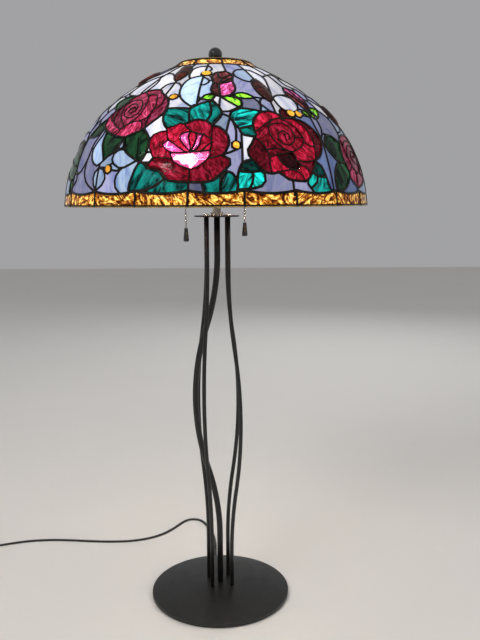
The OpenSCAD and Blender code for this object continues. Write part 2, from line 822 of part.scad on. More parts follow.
base_pad();
base_disc();
base_weight();
rod_nuts();
rod_washers();
cord_bushing();
rod_back_left();
rod_front_left();
rod_back_right();
rod_front_right();
centre_tube();
tube_wire();
top_plate();
plate_screws();
stem_collar();
stem_pipe();
cluster_body();
shade_riser();
riser_nut();
holder_cap_left();
holder_cap_right();
holder_shell_left();
holder_shell_right();
holder_liner_left();
holder_liner_right();
switch_spout_left();
switch_spout_right();
pull_chain_left();
pull_chain_right();
pull_knob_left();
pull_knob_right();
bulb_glass_left();
bulb_glass_right();
bulb_base_left();
bulb_base_right();
shade_rim();
crown_ring();
vented_cap();
cap_washer();
finial();
border_glass();
crown_glass();
ground_glass_1();
ground_glass_2();
ground_glass_3();
ground_glass_4();
ground_glass_5();
rose_low_left();
rose_mid_right();
rose_high_left();
rose_low_right();
teal_leaf_glass();
green_leaf_glass();
rosebud_glass();
jewel_glass();
lead_lines();
cord();
cord_coil();
plug();
plug_pins();
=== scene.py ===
"""A stained glass table lamp: the looks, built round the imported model."""
import json
import math
import random

import bpy
from mathutils import Euler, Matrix, Vector, geometry, kdtree


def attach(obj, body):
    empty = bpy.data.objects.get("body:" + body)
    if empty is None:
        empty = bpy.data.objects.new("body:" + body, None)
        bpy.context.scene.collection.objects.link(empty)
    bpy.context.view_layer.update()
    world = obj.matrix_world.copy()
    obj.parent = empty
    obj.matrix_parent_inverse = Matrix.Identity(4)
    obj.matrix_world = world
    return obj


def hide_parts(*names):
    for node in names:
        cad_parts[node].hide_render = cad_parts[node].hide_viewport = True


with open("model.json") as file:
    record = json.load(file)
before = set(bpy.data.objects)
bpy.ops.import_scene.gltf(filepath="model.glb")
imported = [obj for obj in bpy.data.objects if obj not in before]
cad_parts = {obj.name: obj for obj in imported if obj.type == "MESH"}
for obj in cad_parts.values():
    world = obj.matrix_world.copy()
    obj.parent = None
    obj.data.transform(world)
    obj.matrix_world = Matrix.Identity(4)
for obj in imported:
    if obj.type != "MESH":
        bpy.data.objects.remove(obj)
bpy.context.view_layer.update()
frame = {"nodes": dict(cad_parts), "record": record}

MM = 0.001
NODES = frame["nodes"]
RNG = random.Random(7)

# ------------------------------------------------------------------ sizes, in millimetres and degrees

RIM_R, RIM_Z = 228.5, 640           # the glass's outer face at the rim
BORDER_TOP_R, BORDER_H = 226.5, 15  # the upright border under the dome
SHOULDER_R, CROWN_R = 205, 385      # radii of the dome's two arcs
SHOULDER_TOP, SHOULDER_END, CROWN_END = 82.5, 37.5, 23.5  # slopes where the arcs start and end
CROWN_SLOPE, CROWN_W = 34, 15       # the flared ring of glass at the top
GLASS_T = 2.6
GLASS_SET = 0.3                     # how far the glass lies under the lead's face
PIECE_INSET = 0.55                  # from a piece's edge to the middle of its lead
HALF_TURN = 180

BORDER_LEN = math.hypot(RIM_R - BORDER_TOP_R, BORDER_H)
SHOULDER_LEN = SHOULDER_R * math.radians(SHOULDER_TOP - SHOULDER_END)
CROWN_LEN = CROWN_R * math.radians(SHOULDER_END - CROWN_END)
DOME_TOP = BORDER_LEN + SHOULDER_LEN + CROWN_LEN

BULB_AT = [Vector((-55.9, 0, 711.9)), Vector((55.9, 0, 711.9))]   # the middle of each bulb

# ------------------------------------------------------------------ the leaded pattern
# Lines of lead, in degrees round from the front and millimetres up the glass.
# The round is two of these half rounds.


def line(*numbers):
    """A stroke of lead: pairs of (degrees round from the front, mm up the glass)."""
    return list(zip(numbers[::2], numbers[1::2]))


ROSE_LOW_LEFT = [
    line(-10, 109.5, -8, 114, -5, 117, -2, 114.5, 0.5, 107),
    line(0.5, 107, 3, 104.5, 5, 98, 6.2, 88, 6, 78, 5, 70, 3.8, 64),
    line(3.8, 64, 6.2, 59, 6.2, 52, 4, 43.5, 2, 35.5, 0, 31, -3.5, 29.5, -7.3, 30),
    line(-7.3, 30, -11, 30.5, -14, 32, -15.8, 39, -17.5, 44.5, -20.5, 47, -22.3, 52, -21, 57, -20, 62),
    line(-20, 62, -21.3, 70, -22.4, 80, -22.3, 91, -20.5, 97.5, -16.6, 100),
    line(-16.6, 100, -17, 104.5, -14.5, 106.5, -12, 111, -10, 109.5),
    line(-16.6, 100, -16, 92, -15.5, 86.5),
    line(-15.5, 86.5, -17.3, 80, -16, 73.5, -14, 69),
    line(-20, 62, -17, 61.8, -13, 60.3),
    line(-14, 69, -13.8, 64, -12.5, 56, -10, 50.5, -7, 46),
    line(-7, 46, -4.5, 49, -1.8, 57, -0.3, 65, -0.4, 71),
    line(-7, 46, -7.2, 38, -7.3, 30),
    line(3.8, 64, 1.5, 62.3, -1.3, 60),
    line(-10, 109.5, -9, 104, -7.4, 98.5, -5.5, 95.5, -2.8, 93.5, 0.1, 87),
    line(0.5, 107, 0.2, 97, 0.1, 87, 0, 78, -0.4, 71),
    line(-15.5, 86.5, -13.5, 82, -11.5, 76, -9.5, 71, -8, 67.5),
    line(-7.4, 98.5, -10.5, 95.5, -11.5, 90, -10.3, 82, -8.5, 75, -7, 69),
    line(-7.4, 98.5, -8.3, 91, -7.6, 84, -7.2, 76, -7, 69),
    line(-5.5, 95.5, -5.2, 89, -5.9, 80, -7, 69),
    line(-2.8, 93.5, -3.6, 86, -4, 78, -5.3, 72, -7, 69),
    line(-14, 69, -11, 68, -7, 69),
    line(-7, 69, -4, 69.5, -0.4, 71),
    line(0, 82, -1.8, 76, -3.5, 69.7),
]
ROSE_MID_RIGHT = [
    line(16, 98, 15.8, 108, 16.5, 118, 18.5, 126, 20.3, 130, 23, 133, 26, 131.5, 28.3, 127, 30, 121.5),
    line(30, 121.5, 34, 122, 38, 119.5, 41, 113.5, 43.5, 104, 44.6, 93, 44.3, 83, 43, 73,
         41, 64.5, 38.5, 59.5),
    line(38.5, 59.5, 37.5, 52, 36, 42.5, 34.5, 36, 32.5, 31, 29.5, 31.5, 26, 33.5, 24.3, 38, 22.5, 42.5),
    line(22.5, 42.5, 20, 40.5, 17.5, 43, 15.5, 51, 13.5, 60, 12.3, 68, 13.2, 76, 15, 84, 15.5, 89.5),
    line(15.5, 89.5, 16.5, 94, 16, 98),
    line(15.5, 89.5, 18, 82, 19.3, 72, 20, 62, 19.8, 52, 20.3, 40.5),
    line(16, 98, 18.5, 104, 21.5, 112, 24.5, 118.5, 27.5, 121, 30, 121.5),
    line(24.5, 118.5, 22.3, 110, 21.6, 100, 22.2, 90, 24, 80, 26.5, 73, 29, 70),
    line(27.5, 121, 31.4, 115, 34, 106, 35.4, 96, 35.3, 86, 33.5, 77, 29, 70),
    line(34, 122, 37, 114, 39, 104, 40, 92, 39.8, 78, 39.3, 68, 38.5, 59.5),
    line(22.1, 108, 25, 112, 28.5, 112.5, 31, 105, 32, 95, 31, 85, 28.5, 79.5, 26, 81, 24.6, 88,
         25, 96, 27.5, 101, 29.5, 96, 29.5, 89, 27.8, 86, 26.8, 90, 27.6, 94.5),
    line(19.3, 72, 22, 74.5, 26.5, 73),
    line(20, 62, 23, 66, 26, 67.5, 29, 70),
    line(29, 70, 30.2, 64, 30, 58),
    line(30, 58, 34, 57.5, 38.5, 59.5),
    line(23, 66, 23.5, 58, 25.5, 50, 28.5, 46, 31, 48, 31.5, 53, 30, 58),
    line(22.5, 42.5, 25, 45, 28.5, 46),
    line(28.5, 46, 30.5, 42, 32.3, 36, 32.5, 31),
    line(31.5, 53, 34, 48, 36, 42.5),
    line(35.3, 84, 37.8, 80, 39.8, 79),
    line(31.8, 92, 33.5, 90, 35.4, 92),
]
ROSE_HIGH_LEFT = [
    line(-44, 102, -40.5, 97, -37, 94.5, -34.2, 93.3, -31, 98, -28, 101.5, -26.3, 106),
    line(-26.3, 106, -24, 114.5, -21.5, 123, -19.8, 131, -19.3, 140, -19.8, 150, -21.5, 160, -23.5, 166),
    line(-23.5, 166, -26, 171, -28, 179, -31, 182, -35, 182, -38.5, 180, -40.2, 175),
    line(-40.2, 175, -43.5, 170.5, -45.2, 162, -46, 152, -49, 145, -51.5, 136, -51.8, 124,
         -49.5, 111.5, -44, 102),
    line(-38.7, 180, -36, 173, -33.5, 167, -31.8, 156, -31, 144, -31.2, 132, -33, 121.5, -37.2, 110),
    line(-33.5, 167, -31, 169.5, -28.3, 167, -26.4, 153, -25.5, 143, -26.2, 132, -26.6, 118, -26.3, 106),
    line(-23.5, 166, -22.8, 155, -23, 145, -25.5, 138),
    line(-46, 152, -44, 156, -42, 159.5, -39, 161, -36, 158.5, -33.8, 151, -32.6, 142, -33, 132,
         -35.5, 126,
         -39, 127, -41.8, 134, -42.4, 143, -40.8, 151, -37.8, 152, -35.6, 146, -35.6, 138, -37.6, 133.5,
         -39.6, 137, -39.5, 143.5, -37.8, 144.5),
    line(-46, 152, -43.8, 140, -42.8, 130, -40, 121, -37.2, 110),
    line(-49, 145, -47, 133, -46, 122, -42.8, 113.5, -38.6, 107, -37.2, 110),
    line(-38.6, 107, -38.8, 102, -40.5, 97),
    line(-37.2, 110, -33, 117.5, -30, 118.5, -28.2, 113, -28, 101.5),
    line(-30, 118.5, -27.5, 122, -26.4, 126),
    line(-51.5, 136, -49, 126, -46, 122),
]
ROSE_LOW_RIGHT = [
    line(58, 45, 56.3, 58, 56, 72, 57.5, 86, 60.5, 97),
    line(60.5, 97, 65, 103, 70, 104.5, 75, 101, 78.5, 93),
    line(78.5, 93, 81, 80, 81.3, 65, 80, 50, 77, 39),
    line(77, 39, 72, 30, 67, 26, 63.5, 23.5, 61, 30, 58, 36, 58, 45),
    line(60.5, 97, 60, 84, 60.3, 68, 61.8, 54, 58, 45),
    line(61.8, 54, 65, 46.5, 70, 45, 77, 39),
    line(63.5, 23.5, 64.3, 34, 65, 46.5),
    line(78.5, 93, 75.5, 90, 76.5, 76, 76, 62, 74, 52, 70, 45),
    line(60, 84, 64, 92, 70, 95, 75.5, 90),
    line(60.3, 68, 63, 80, 67, 87, 72, 86, 74.3, 78, 73.8, 67, 70.5, 59, 66.5, 60, 64.5, 68, 66, 76,
         69.5, 79, 71.4, 73, 70.3, 67, 68.3, 69),
    line(70.5, 59, 71, 52, 70, 45),
]
LEAVES = [
    # teal, above and below the low left rose
    line(-19.3, 137.5, -19.8, 125, -18.8, 113, -17, 104.5),
    line(-19.3, 137.5, -14, 138, -8.8, 136),
    line(-8.8, 140, -9.2, 130, -8.8, 121, -8.5, 113.5),
    line(-8.8, 136, -6, 143, -3.5, 147, 0, 150),
    line(0, 150, 2.2, 143, 4, 132, 4, 124, 2.5, 116, 0.6, 108),
    line(-1, 148.5, -0.2, 136, -0.4, 124, -1.8, 115),
    line(-25, 56, -26.2, 50, -27.2, 38, -28.2, 26, -28, 16),
    line(-16.4, 41, -15.6, 34, -18.5, 25.5, -22, 20.5, -28, 18),
    line(-24, 56, -20.5, 47),
    line(-3, 30, -2.2, 16),
    line(0.5, 31.5, 4.6, 44, 7.6, 38, 8.6, 26, 7.8, 15),
    line(4.6, 44, 3, 30, 3, 15),
    line(13.7, 59, 10.5, 55, 9, 44, 8.4, 32, 8.8, 20),
    line(16.8, 46, 17.8, 36, 17, 26.5, 14, 22, 8.8, 20.5),
    line(9, 43.5, 12.5, 42.5, 16.8, 44),
    line(13.4, 43, 13.6, 32, 12.2, 21.5),
    line(38.5, 58, 40.8, 52, 42.2, 38, 43.6, 22, 45.5, 17),
    line(34, 35, 33.4, 28, 36, 16),
    line(36.2, 43, 38.2, 38, 42.2, 37),
    line(38.2, 38, 37.5, 30, 35, 23),
    # teal, above the low left rose on the right
    line(7, 121, 8.8, 110, 10.2, 102.5, 11, 95, 13, 91.5, 16.6, 91),
    line(7, 121, 8, 130, 12, 136, 16.5, 135, 20.5, 131.5),
    line(10.2, 102.5, 13.5, 105.5, 15.9, 108),
    # green, under the high left rose
    line(-46.8, 107, -46.2, 98, -46, 88, -44.5, 78, -42.8, 68, -42, 61),
    line(-42, 61, -40, 67, -37.5, 71.5, -36, 78, -35, 86, -35.2, 94),
    line(-34.4, 93.5, -33.6, 82, -32.5, 74, -30, 67, -26.5, 59.5, -25, 56),
    line(-25, 56, -23.3, 66, -22.8, 76, -23, 88, -24.5, 97, -26.5, 105),
    # green, right of the mid right rose
    line(46.3, 78, 46.8, 88, 49, 97, 52, 98.5, 55, 95, 57.8, 88),
    line(46.3, 78, 48, 70, 50.5, 61, 51.5, 60),
    line(51.5, 60, 48.6, 51, 47.2, 40, 46.8, 28, 47.2, 21, 50, 19.5, 53, 22, 55.5, 30, 57, 37, 58, 42),
    line(51.5, 60, 54, 58, 56.3, 60),
    # green, left of the high left rose
    line(-60.5, 100, -58.2, 112, -55.5, 122, -51.7, 130),
    line(-60.5, 100, -55, 98.5, -51.5, 102, -49.3, 110),
    line(-57, 163, -52, 171.5, -47.5, 174, -43.5, 171),
    line(-57, 163, -55, 152.5, -52, 145.5, -49.5, 144.5),
    # green, near the side
    line(-62, 38, -64, 36, -70, 38, -77, 46, -83, 60, -86, 76),
    line(-86, 76, -80, 90, -72, 96, -65, 92, -61, 80),
    line(-86, 76, -76, 68, -66, 58, -61, 56),
    # lime, round the middle bud
    line(-5, 155, -3.5, 162, 0.8, 168),
    line(-5, 155, -3, 153, 0.2, 152.5, 1.5, 162.5),
    line(4, 159.5, 6, 153, 9, 145, 11.5, 139, 12.8, 142, 13.2, 150, 11, 158, 8.3, 159.5),
    line(8.6, 163, 10.3, 163.8, 12.5, 168, 16, 168.5, 18.5, 164, 19.5, 158, 15, 156.3,
         12, 157.5, 10.3, 163.8),
    line(12.6, 157.3, 13, 152),
    # lime, under the right bud
    line(42, 137, 42.6, 131, 45.6, 126.5, 46.2, 133, 44.5, 139.5, 42, 137),
    line(46.2, 141, 46.5, 131, 48, 124.5, 49.4, 131, 49, 139),
    line(49.3, 141.5, 50.2, 134, 51.5, 128, 54, 135, 57, 144, 55, 147, 50.2, 146.5),
]
BUDS = [
    line(0.5, 224, 3, 227.5, 6, 229, 9.5, 231, 11.5, 226, 13.2, 222, 13.3, 215, 12, 205, 11.8, 196,
         12.2, 188, 11.9, 178, 10.3, 168, 8, 162, 4, 159.5),
    line(4, 159.5, 2, 161.5, 0.3, 167, -0.6, 175, -0.4, 183, 0.4, 192, 0.2, 202, -0.4, 212, 0.5, 224),
    line(3.4, 189, 5, 192.5, 8, 195, 11.9, 201),
    line(0.3, 197, 3.4, 189, 3.7, 180, 3.7, 170, 4, 159.5),
    line(3.4, 189, 4.6, 199, 5.8, 206, 8.5, 213, 13.2, 219),
    line(5.8, 206, 3.8, 214, 3.6, 227),
    line(5, 192.5, 7.5, 201, 12.3, 209),
    line(45, 192, 42.5, 184, 41.2, 176, 41.2, 168, 42.3, 158, 44.5, 148, 46.2, 141, 49, 138),
    line(45, 192, 48, 190.5, 50.7, 187, 52.4, 178, 52.2, 166, 51.2, 155, 50, 145, 49, 138),
    line(42.5, 184, 44.4, 172, 46.4, 160, 49, 138),
    line(47.5, 190, 47.6, 178, 48.4, 164, 50, 148),
]
JEWELS = [
    line(-23, 202.5, -25.2, 208, -28, 218.5, -29.7, 235, -30.3, 250, -27, 256, -23, 257,
         -20.8, 250, -19, 236,
         -18.7, 222, -20.3, 210.5, -23, 202.5),
    line(27.3, 209, 24.6, 204.5, 23.3, 196, 22.8, 185, 23, 175, 24, 165, 25.3, 157.5, 27.4, 151.5),
    line(27.3, 209, 29.4, 204, 30.3, 194, 30.6, 180, 30, 166, 28.8, 156, 27.4, 151.5),
    line(-66, 252, -69.5, 240, -70, 225, -66.5, 210, -62.5, 206, -60.5, 216, -60.5, 232,
         -63, 245, -66, 252),
    line(70, 163, 66.5, 152, 65.6, 140, 67.5, 127, 70.5, 119, 73.5, 128, 74.6, 141, 73, 154, 70, 163),
]
GROUND = [
    # below the roses, between them and the border
    line(-7.3, 30, -7.4, 16),
    line(27.5, 33, 27.7, 16),
    line(10.4, 56, 9.2, 44),
    line(10.9, 95, 10.7, 84, 10.6, 72, 10.4, 56),
    line(7.2, 120, 6.2, 108, 5.4, 97),
    line(4, 126, 6, 124, 7, 121),
    line(8.7, 84, 8.9, 92, 9, 102, 8.2, 113),
    line(8.6, 72, 6.2, 68, 4.6, 66),
    line(38.5, 59.5, 40, 62, 41, 64.5),
    line(45.4, 17, 45, 40, 44.9, 60, 45.3, 80, 45.6, 92, 45.2, 108, 45.6, 126),
    line(44.4, 86, 46.3, 84),
    line(49.2, 125, 48.9, 112, 48, 103, 45.6, 92),
    line(57.5, 38, 60, 30, 63.5, 23.5),
    line(63.5, 23.5, 62.5, 17),
    line(52, 98.5, 49, 100),
    # the long strip left of the low left rose
    line(-22.4, 90, -24, 91),
    line(-22.6, 70, -21.6, 70),
    line(-25, 56, -22, 56),
    # left panel, under the green leaves
    line(-27, 57.5, -28.8, 54, -31, 50.3, -33.5, 50, -36, 55, -37.4, 62, -37, 70, -35, 75, -33, 75.5),
    line(-36.2, 78, -34.4, 76.3, -33.4, 80),
    line(-31.6, 50.2, -33.6, 43, -34.3, 33, -33.8, 24, -31.5, 16),
    line(-37, 47.5, -34.5, 46.3, -32.6, 47),
    line(-38, 54, -36.6, 57),
    line(-39.4, 50, -41, 51.3, -43.4, 51.5),
    line(-43.4, 51.5, -41, 48.8, -39.7, 43, -39.2, 36, -40.3, 28, -43.4, 20.5),
    line(-42, 61, -43.3, 57, -43.4, 44, -43.4, 30, -43.5, 17),
    line(-43.4, 51.5, -45.3, 45, -45.7, 37, -45, 28.5, -43.4, 20.5),
    line(-48, 109, -48.2, 99, -49.7, 90, -50.8, 80, -50.3, 70, -48.6, 61, -46.2, 55.2,
         -44.2, 54.2, -43.3, 57),
    line(-49.6, 109, -51.3, 95, -52.3, 84, -52.4, 70, -53.4, 59, -55.2, 49, -57.5, 44.5, -60.3, 48),
    line(-52.4, 70, -52.8, 56, -52.2, 44, -50.3, 33, -47, 25, -43.5, 19),
    line(-50.8, 80, -52.4, 80),
    line(-60.5, 101, -61, 85, -60.7, 65, -60.4, 48, -61.5, 38, -61.5, 17),
    line(-60.4, 48, -57.8, 38, -60, 30, -61.5, 26),
    line(-64.5, 36.5, -66, 26, -65, 17),
    # left shoulder
    line(-62, 96, -64, 108, -62.5, 122, -60, 130, -57.3, 119),
    line(-61, 85, -63, 92, -67, 96),
    line(-60, 130, -58, 142, -55, 152.5),
    line(-64, 108, -72, 112, -80, 108, -86, 98, -88, 86, -86, 76),
    line(-80, 108, -82, 122, -79, 136, -73, 142, -67, 136, -64, 124, -63.5, 115),
    line(-58, 142, -63, 150, -66, 162, -64, 174, -58, 178, -54, 170.5),
    line(-66, 162, -74, 158, -79, 148, -79, 136),
    line(-73, 142, -71, 158),
    line(-82, 122, -90, 124, -97, 118),
    line(-79, 148, -88, 156, -97, 152),
    line(-83.5, 60, -90, 56, -97, 60),
    line(-77, 46, -79, 32, -79.5, 17),
    line(-88, 86, -97, 92),
    # left crown
    line(-40.2, 175, -42, 178, -41.2, 200, -41, 216, -40.3, 236, -39.5, 265),
    line(-41, 218, -38.5, 210, -37.3, 200, -37.6, 190, -38.7, 180),
    line(-41.6, 228, -38, 232.5, -34.5, 231.5, -31.5, 227, -28, 219),
    line(-47.5, 174, -53, 178, -55.2, 187, -55.5, 200, -53.5, 212, -48, 222, -41, 226),
    line(-58, 178, -55.5, 190),
    line(-53.5, 212, -58, 208, -62.5, 206),
    line(-64, 174, -72, 182, -76, 196, -74, 212, -70, 220),
    line(-76, 196, -86, 190, -97, 194),
    line(-72, 182, -80, 172, -79, 148),
    line(-66, 252, -65, 265),
    line(-70, 236, -80, 234, -90, 226, -92, 214, -88, 202, -84, 191),
    line(-80, 234, -84, 250, -85, 265),
    line(-60.5, 230, -52, 236, -48, 250, -47.5, 265),
    line(-30.2, 248, -31, 265),
    line(-21.5, 254, -20.5, 265),
    # the long petals above the low left rose
    line(-8.8, 140, -12.5, 150, -15, 160, -16.6, 172, -17, 188, -16.3, 200, -14.5, 208,
         -11, 213, -6.8, 216),
    line(-6.5, 142, -6.5, 165, -6.5, 190, -6.3, 217),
    line(-6.2, 231, -6, 245, -5.8, 265),
    line(-8.8, 140, -7.5, 143, -6.5, 142),
    line(-6.2, 211.5, -3.7, 207, -2, 201, -2.5, 194.5, -4.5, 188.5, -6.5, 188.5),
    line(-2.1, 200, -0.2, 200),
    line(-2.7, 217.5, -1, 212, -0.4, 206),
    line(-2.6, 225, -1, 221.5, -0.1, 217),
    line(-5.9, 252, -3, 250, -1.3, 243, -1.4, 237, -3.3, 231.5),
    line(-14.5, 208, -16.3, 216, -17.2, 228, -17.5, 242, -14, 250, -9, 252, -5.9, 252),
    line(-17.5, 242, -19.8, 244),
    line(-23, 202.5, -23, 198, -20, 195.5, -18, 190, -16.9, 183),
    line(-23, 198, -26.5, 195.5, -28.8, 189, -29, 180),
    line(-23, 198, -23, 182, -23.5, 167),
    line(-20.1, 156, -19.3, 137.5),
    line(-21, 163.5, -20, 160.5),
    line(-16.8, 160.5, -15.3, 161),
    # round the middle bud
    line(-6.5, 160, -5, 155),
    line(-5, 155, -6.4, 148),
    line(0.2, 152.5, 0, 150),
    line(0.2, 152.5, 2.5, 142, 4.2, 129),
    line(4, 159.5, 3.4, 150, 3.2, 139.5),
    line(4, 130, 7, 130.5, 10.3, 136.5, 11.5, 139),
    line(19.5, 158, 21.2, 150, 21.5, 141, 20.5, 132),
    line(13, 150, 12.9, 142, 12.6, 136),
    line(19.2, 160, 22.5, 158.5, 25.3, 157.5),
    line(9.8, 231, 9.6, 245, 9.5, 265),
    line(13.3, 218, 15, 218),
    line(23.5, 158, 21.6, 150, 22.2, 142, 24.2, 137.5, 25, 132.5),
    line(27.4, 151.5, 27.2, 129.5),
    line(27.3, 242, 21, 240.5, 17, 234.5, 14.7, 226, 14.8, 217, 17, 208, 20, 201.5, 23.6, 199.5),
    line(27.3, 265, 27.3, 242, 27.3, 209),
    line(27.3, 242, 31, 241, 34, 235.5, 36.5, 226, 37.2, 217, 36, 208, 34.5, 200, 33, 190,
         31.6, 179, 30.2, 168),
    # right panel and crown
    line(37, 220, 41, 224.5, 46, 229.5, 52, 234, 60, 236),
    line(44.8, 228.5, 44.2, 242, 44, 265),
    line(46.2, 229.5, 45.4, 214, 44.6, 202, 45, 192),
    line(29.9, 160, 32.5, 166.5, 36.3, 168.8, 39.3, 166.5, 41.5, 163),
    line(36.3, 168.8, 38, 170, 41.2, 170),
    line(42.2, 158, 42.3, 149, 41, 141, 38.5, 135.6),
    line(29.9, 160, 30.2, 150, 31, 141, 33, 135.8),
    line(31.2, 140, 29.5, 134, 29, 126),
    line(41.2, 141.5, 44.5, 139.5, 46.4, 140.8),
    line(35.7, 136, 36.9, 134.5, 38.2, 135.3),
    line(40.9, 129, 43, 128.5),
    line(36, 127, 36, 121.5),
    line(57, 144, 60, 138, 62.5, 125, 62.3, 112, 60.8, 98),
    line(49, 125, 51.5, 128),
    line(52.2, 166, 55, 163.5, 58, 168.5, 60, 178, 59.5, 188, 57, 194, 54, 191, 51.8, 182),
    line(57, 144, 56.5, 154, 55, 163.5),
    line(62.5, 130, 65.7, 138),
    line(58, 168.5, 63, 160, 67, 154),
    line(62, 106, 68, 110, 70.5, 119),
    line(73.5, 99.5, 73.5, 112, 72, 122),
    line(57, 194, 52, 200, 52, 212, 55, 224, 56, 235),
    line(60, 178, 66, 180, 72, 176, 72, 160),
    line(66, 180, 69, 196, 67, 212, 61, 222, 56, 230),
    line(72, 176, 78, 182, 83, 186),
    line(74.5, 145, 79, 148, 83, 146),
    line(78.5, 93, 80, 100, 83, 104),
    line(69, 196, 76, 204, 83, 206),
    line(60, 236, 66, 240, 74, 238, 83, 232),
    line(61, 236, 62.5, 250, 63, 265),
    line(74, 238, 76, 265),
    line(80.6, 56, 83, 54),
    line(79, 43, 80.5, 30, 80.5, 17),
]
# the wavy joint that closes the round: the same line stands half a turn away
SEAM = line(82.5, 17, 83.2, 40, 84.4, 70, 84, 105, 82.6, 140, 83, 175, 84.2, 210, 83.4, 240, 82.5, 265)
# Degrees round, millimetres up, and the radius of each round jewel
CABOCHONS = [(8.6, 78, 6), (-38.3, 48.5, 6), (-18.4, 161, 6), (-4.8, 223.5, 7.5), (34.7, 130.5, 6.5),
             (38.8, 130, 5.5)]


def arc_point(centre_r, centre_z, radius, slope):
    """A point of an arc of the dome's outline, with the outward normal there."""
    a = math.radians(slope)
    return centre_r + radius * math.sin(a), centre_z + radius * math.cos(a), math.sin(a), math.cos(a)


def arc_centre(point, radius, slope):
    """The centre of an arc that passes through the point at that slope."""
    a = math.radians(slope)
    return point[0] - radius * math.sin(a), point[1] - radius * math.cos(a)


SHOULDER_C = arc_centre((BORDER_TOP_R, RIM_Z + BORDER_H), SHOULDER_R, SHOULDER_TOP)
CROWN_C = arc_centre(arc_point(*SHOULDER_C, SHOULDER_R, SHOULDER_END)[:2], CROWN_R, SHOULDER_END)
CROWN_FOOT = arc_point(*CROWN_C, CROWN_R, CROWN_END)[:2]


def outline(up):
    """The glass's outer face that far up from the rim: radius, height, and the normal's two parts."""
    if up < BORDER_LEN:
        t = up / BORDER_LEN
        lean = math.atan2(RIM_R - BORDER_TOP_R, BORDER_H)
        return RIM_R + (BORDER_TOP_R - RIM_R) * t, RIM_Z + BORDER_H * t, math.cos(lean), math.sin(lean)
    if up < BORDER_LEN + SHOULDER_LEN:
        slope = SHOULDER_TOP - math.degrees((up - BORDER_LEN) / SHOULDER_R)
        return arc_point(*SHOULDER_C, SHOULDER_R, slope)
    if up < DOME_TOP:
        slope = SHOULDER_END - math.degrees((up - BORDER_LEN - SHOULDER_LEN) / CROWN_R)
        return arc_point(*CROWN_C, CROWN_R, slope)
    a = math.radians(CROWN_SLOPE)
    rest = up - DOME_TOP
    return CROWN_FOOT[0] - rest * math.cos(a), CROWN_FOOT[1] + rest * math.sin(a), math.sin(a), math.cos(a)


def normal_at(angle, up):
    """The way the glass faces at that place of the pattern."""
    a = math.radians(angle)
    _, _, across, rise = outline(up)
    return Vector((across * math.sin(a), -across * math.cos(a), rise))


def on_dome(angle, up, out=0.0):
    """The point at that place of the pattern, `out` millimetres proud of the glass, in metres."""
    a = math.radians(angle)
    r, z, across, rise = outline(up)
    r, z = r + out * across, z + out * rise
    return Vector((r * math.sin(a), -r * math.cos(a), z)) * MM


# ------------------------------------------------------------------ lines and meshes

FLAT = 3.2  # millimetres to a degree where the pattern is cut up as a flat drawing


def smooth_line(points, spacing=4.0):
    """A Catmull-Rom line through the points, with a point about every `spacing` millimetres."""
    ends = [points[0]] + list(points) + [points[-1]]
    if points[0] == points[-1] and len(points) > 3:
        ends[0], ends[-1] = points[-2], points[1]
    out = [tuple(points[0])]
    for p, a, b, n in zip(ends, ends[1:], ends[2:], ends[3:]):
        steps = max(1, round(math.dist(a, b) / spacing))
        for k in range(1, steps + 1):
            t = k / steps
            out.append(tuple(
                0.5 * (2 * a[i] + (b[i] - p[i]) * t + (2 * p[i] - 5 * a[i] + 4 * b[i] - n[i]) * t * t
                       + (3 * a[i] - p[i] - 3 * b[i] + n[i]) * t ** 3)
                for i in range(len(a))))
    return out


class Shell:
    """Vertices and faces of one piece, gathered solid by solid."""

    def __init__(self):
        self.verts, self.faces, self.tints, self.streaks = [], [], [], []

    def add(self, verts, faces, tints=None, streaks=None):
        base = len(self.verts)
        self.verts.extend(verts)
        self.faces.extend([tuple(base + i for i in face) for face in faces])
        self.tints.extend(tints or [(1, 1, 1, 1)] * len(verts))
        self.streaks.extend(streaks or [(0, 0, 0)] * len(verts))

    def piece(self, name, material, body, slot, replaced):
        mesh = bpy.data.meshes.new(name)
        mesh.from_pydata(self.verts, [], self.faces)
        mesh.validate()
        mesh.shade_smooth()
        # for glass pieces, the alpha of this attribute is painted lamplight
        tint = mesh.attributes.new("tint", "FLOAT_COLOR", "POINT")
        tint.data.foreach_set("color", [c for t in self.tints for c in t])
        streak = mesh.attributes.new("streak", "FLOAT_VECTOR", "POINT")
        streak.data.foreach_set("vector", [c for s in self.streaks for c in s])
        obj = bpy.data.objects.new(name, mesh)
        bpy.context.scene.collection.objects.link(obj)
        obj.data.materials.append(material)
        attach(obj, body)
        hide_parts(*replaced)
        return obj


def sweep(centres, sides, ups, section):
    """A solid of that section along the centres. The section is points (across, up) in millimetres."""
    n, verts, faces = len(section), [], []
    for c, s, u in zip(centres, sides, ups):
        verts.extend([c + (s * x + u * y) * MM for x, y in section])
    last = len(centres) - 1
    for j in range(last):
        a, b = j * n, (j + 1) * n
        faces.extend([(a + k, b + k, b + (k + 1) % n, a + (k + 1) % n) for k in range(n)])
    faces.append(tuple(range(n)))
    faces.append(tuple(range(last * n + n - 1, last * n - 1, -1)))
    return verts, faces


def directions(points):
    """The direction of a line at each of its points."""
    out = []
    for i in range(len(points)):
        a, b = points[max(i - 1, 0)], points[min(i + 1, len(points) - 1)]
        out.append((b - a).normalized())
    return out


def upright_frames(points):
    """Side and up directions along a line, with up as near to the sky as it goes."""
    sides, ups = [], []
    for t in directions(points):
        side = t.cross(Vector((0, 0, 1)))
        side = side.normalized() if side.length > 0.2 else Vector((1, 0, 0))
        sides.append(side)
        ups.append(side.cross(t).normalized())
    return sides, ups


def ring_section(radius, count):
    """A round section."""
    return [(radius * math.cos(2 * math.pi * k / count), radius * math.sin(2 * math.pi * k / count))
            for k in range(count)]


# ------------------------------------------------------------------ cutting the pattern into pieces

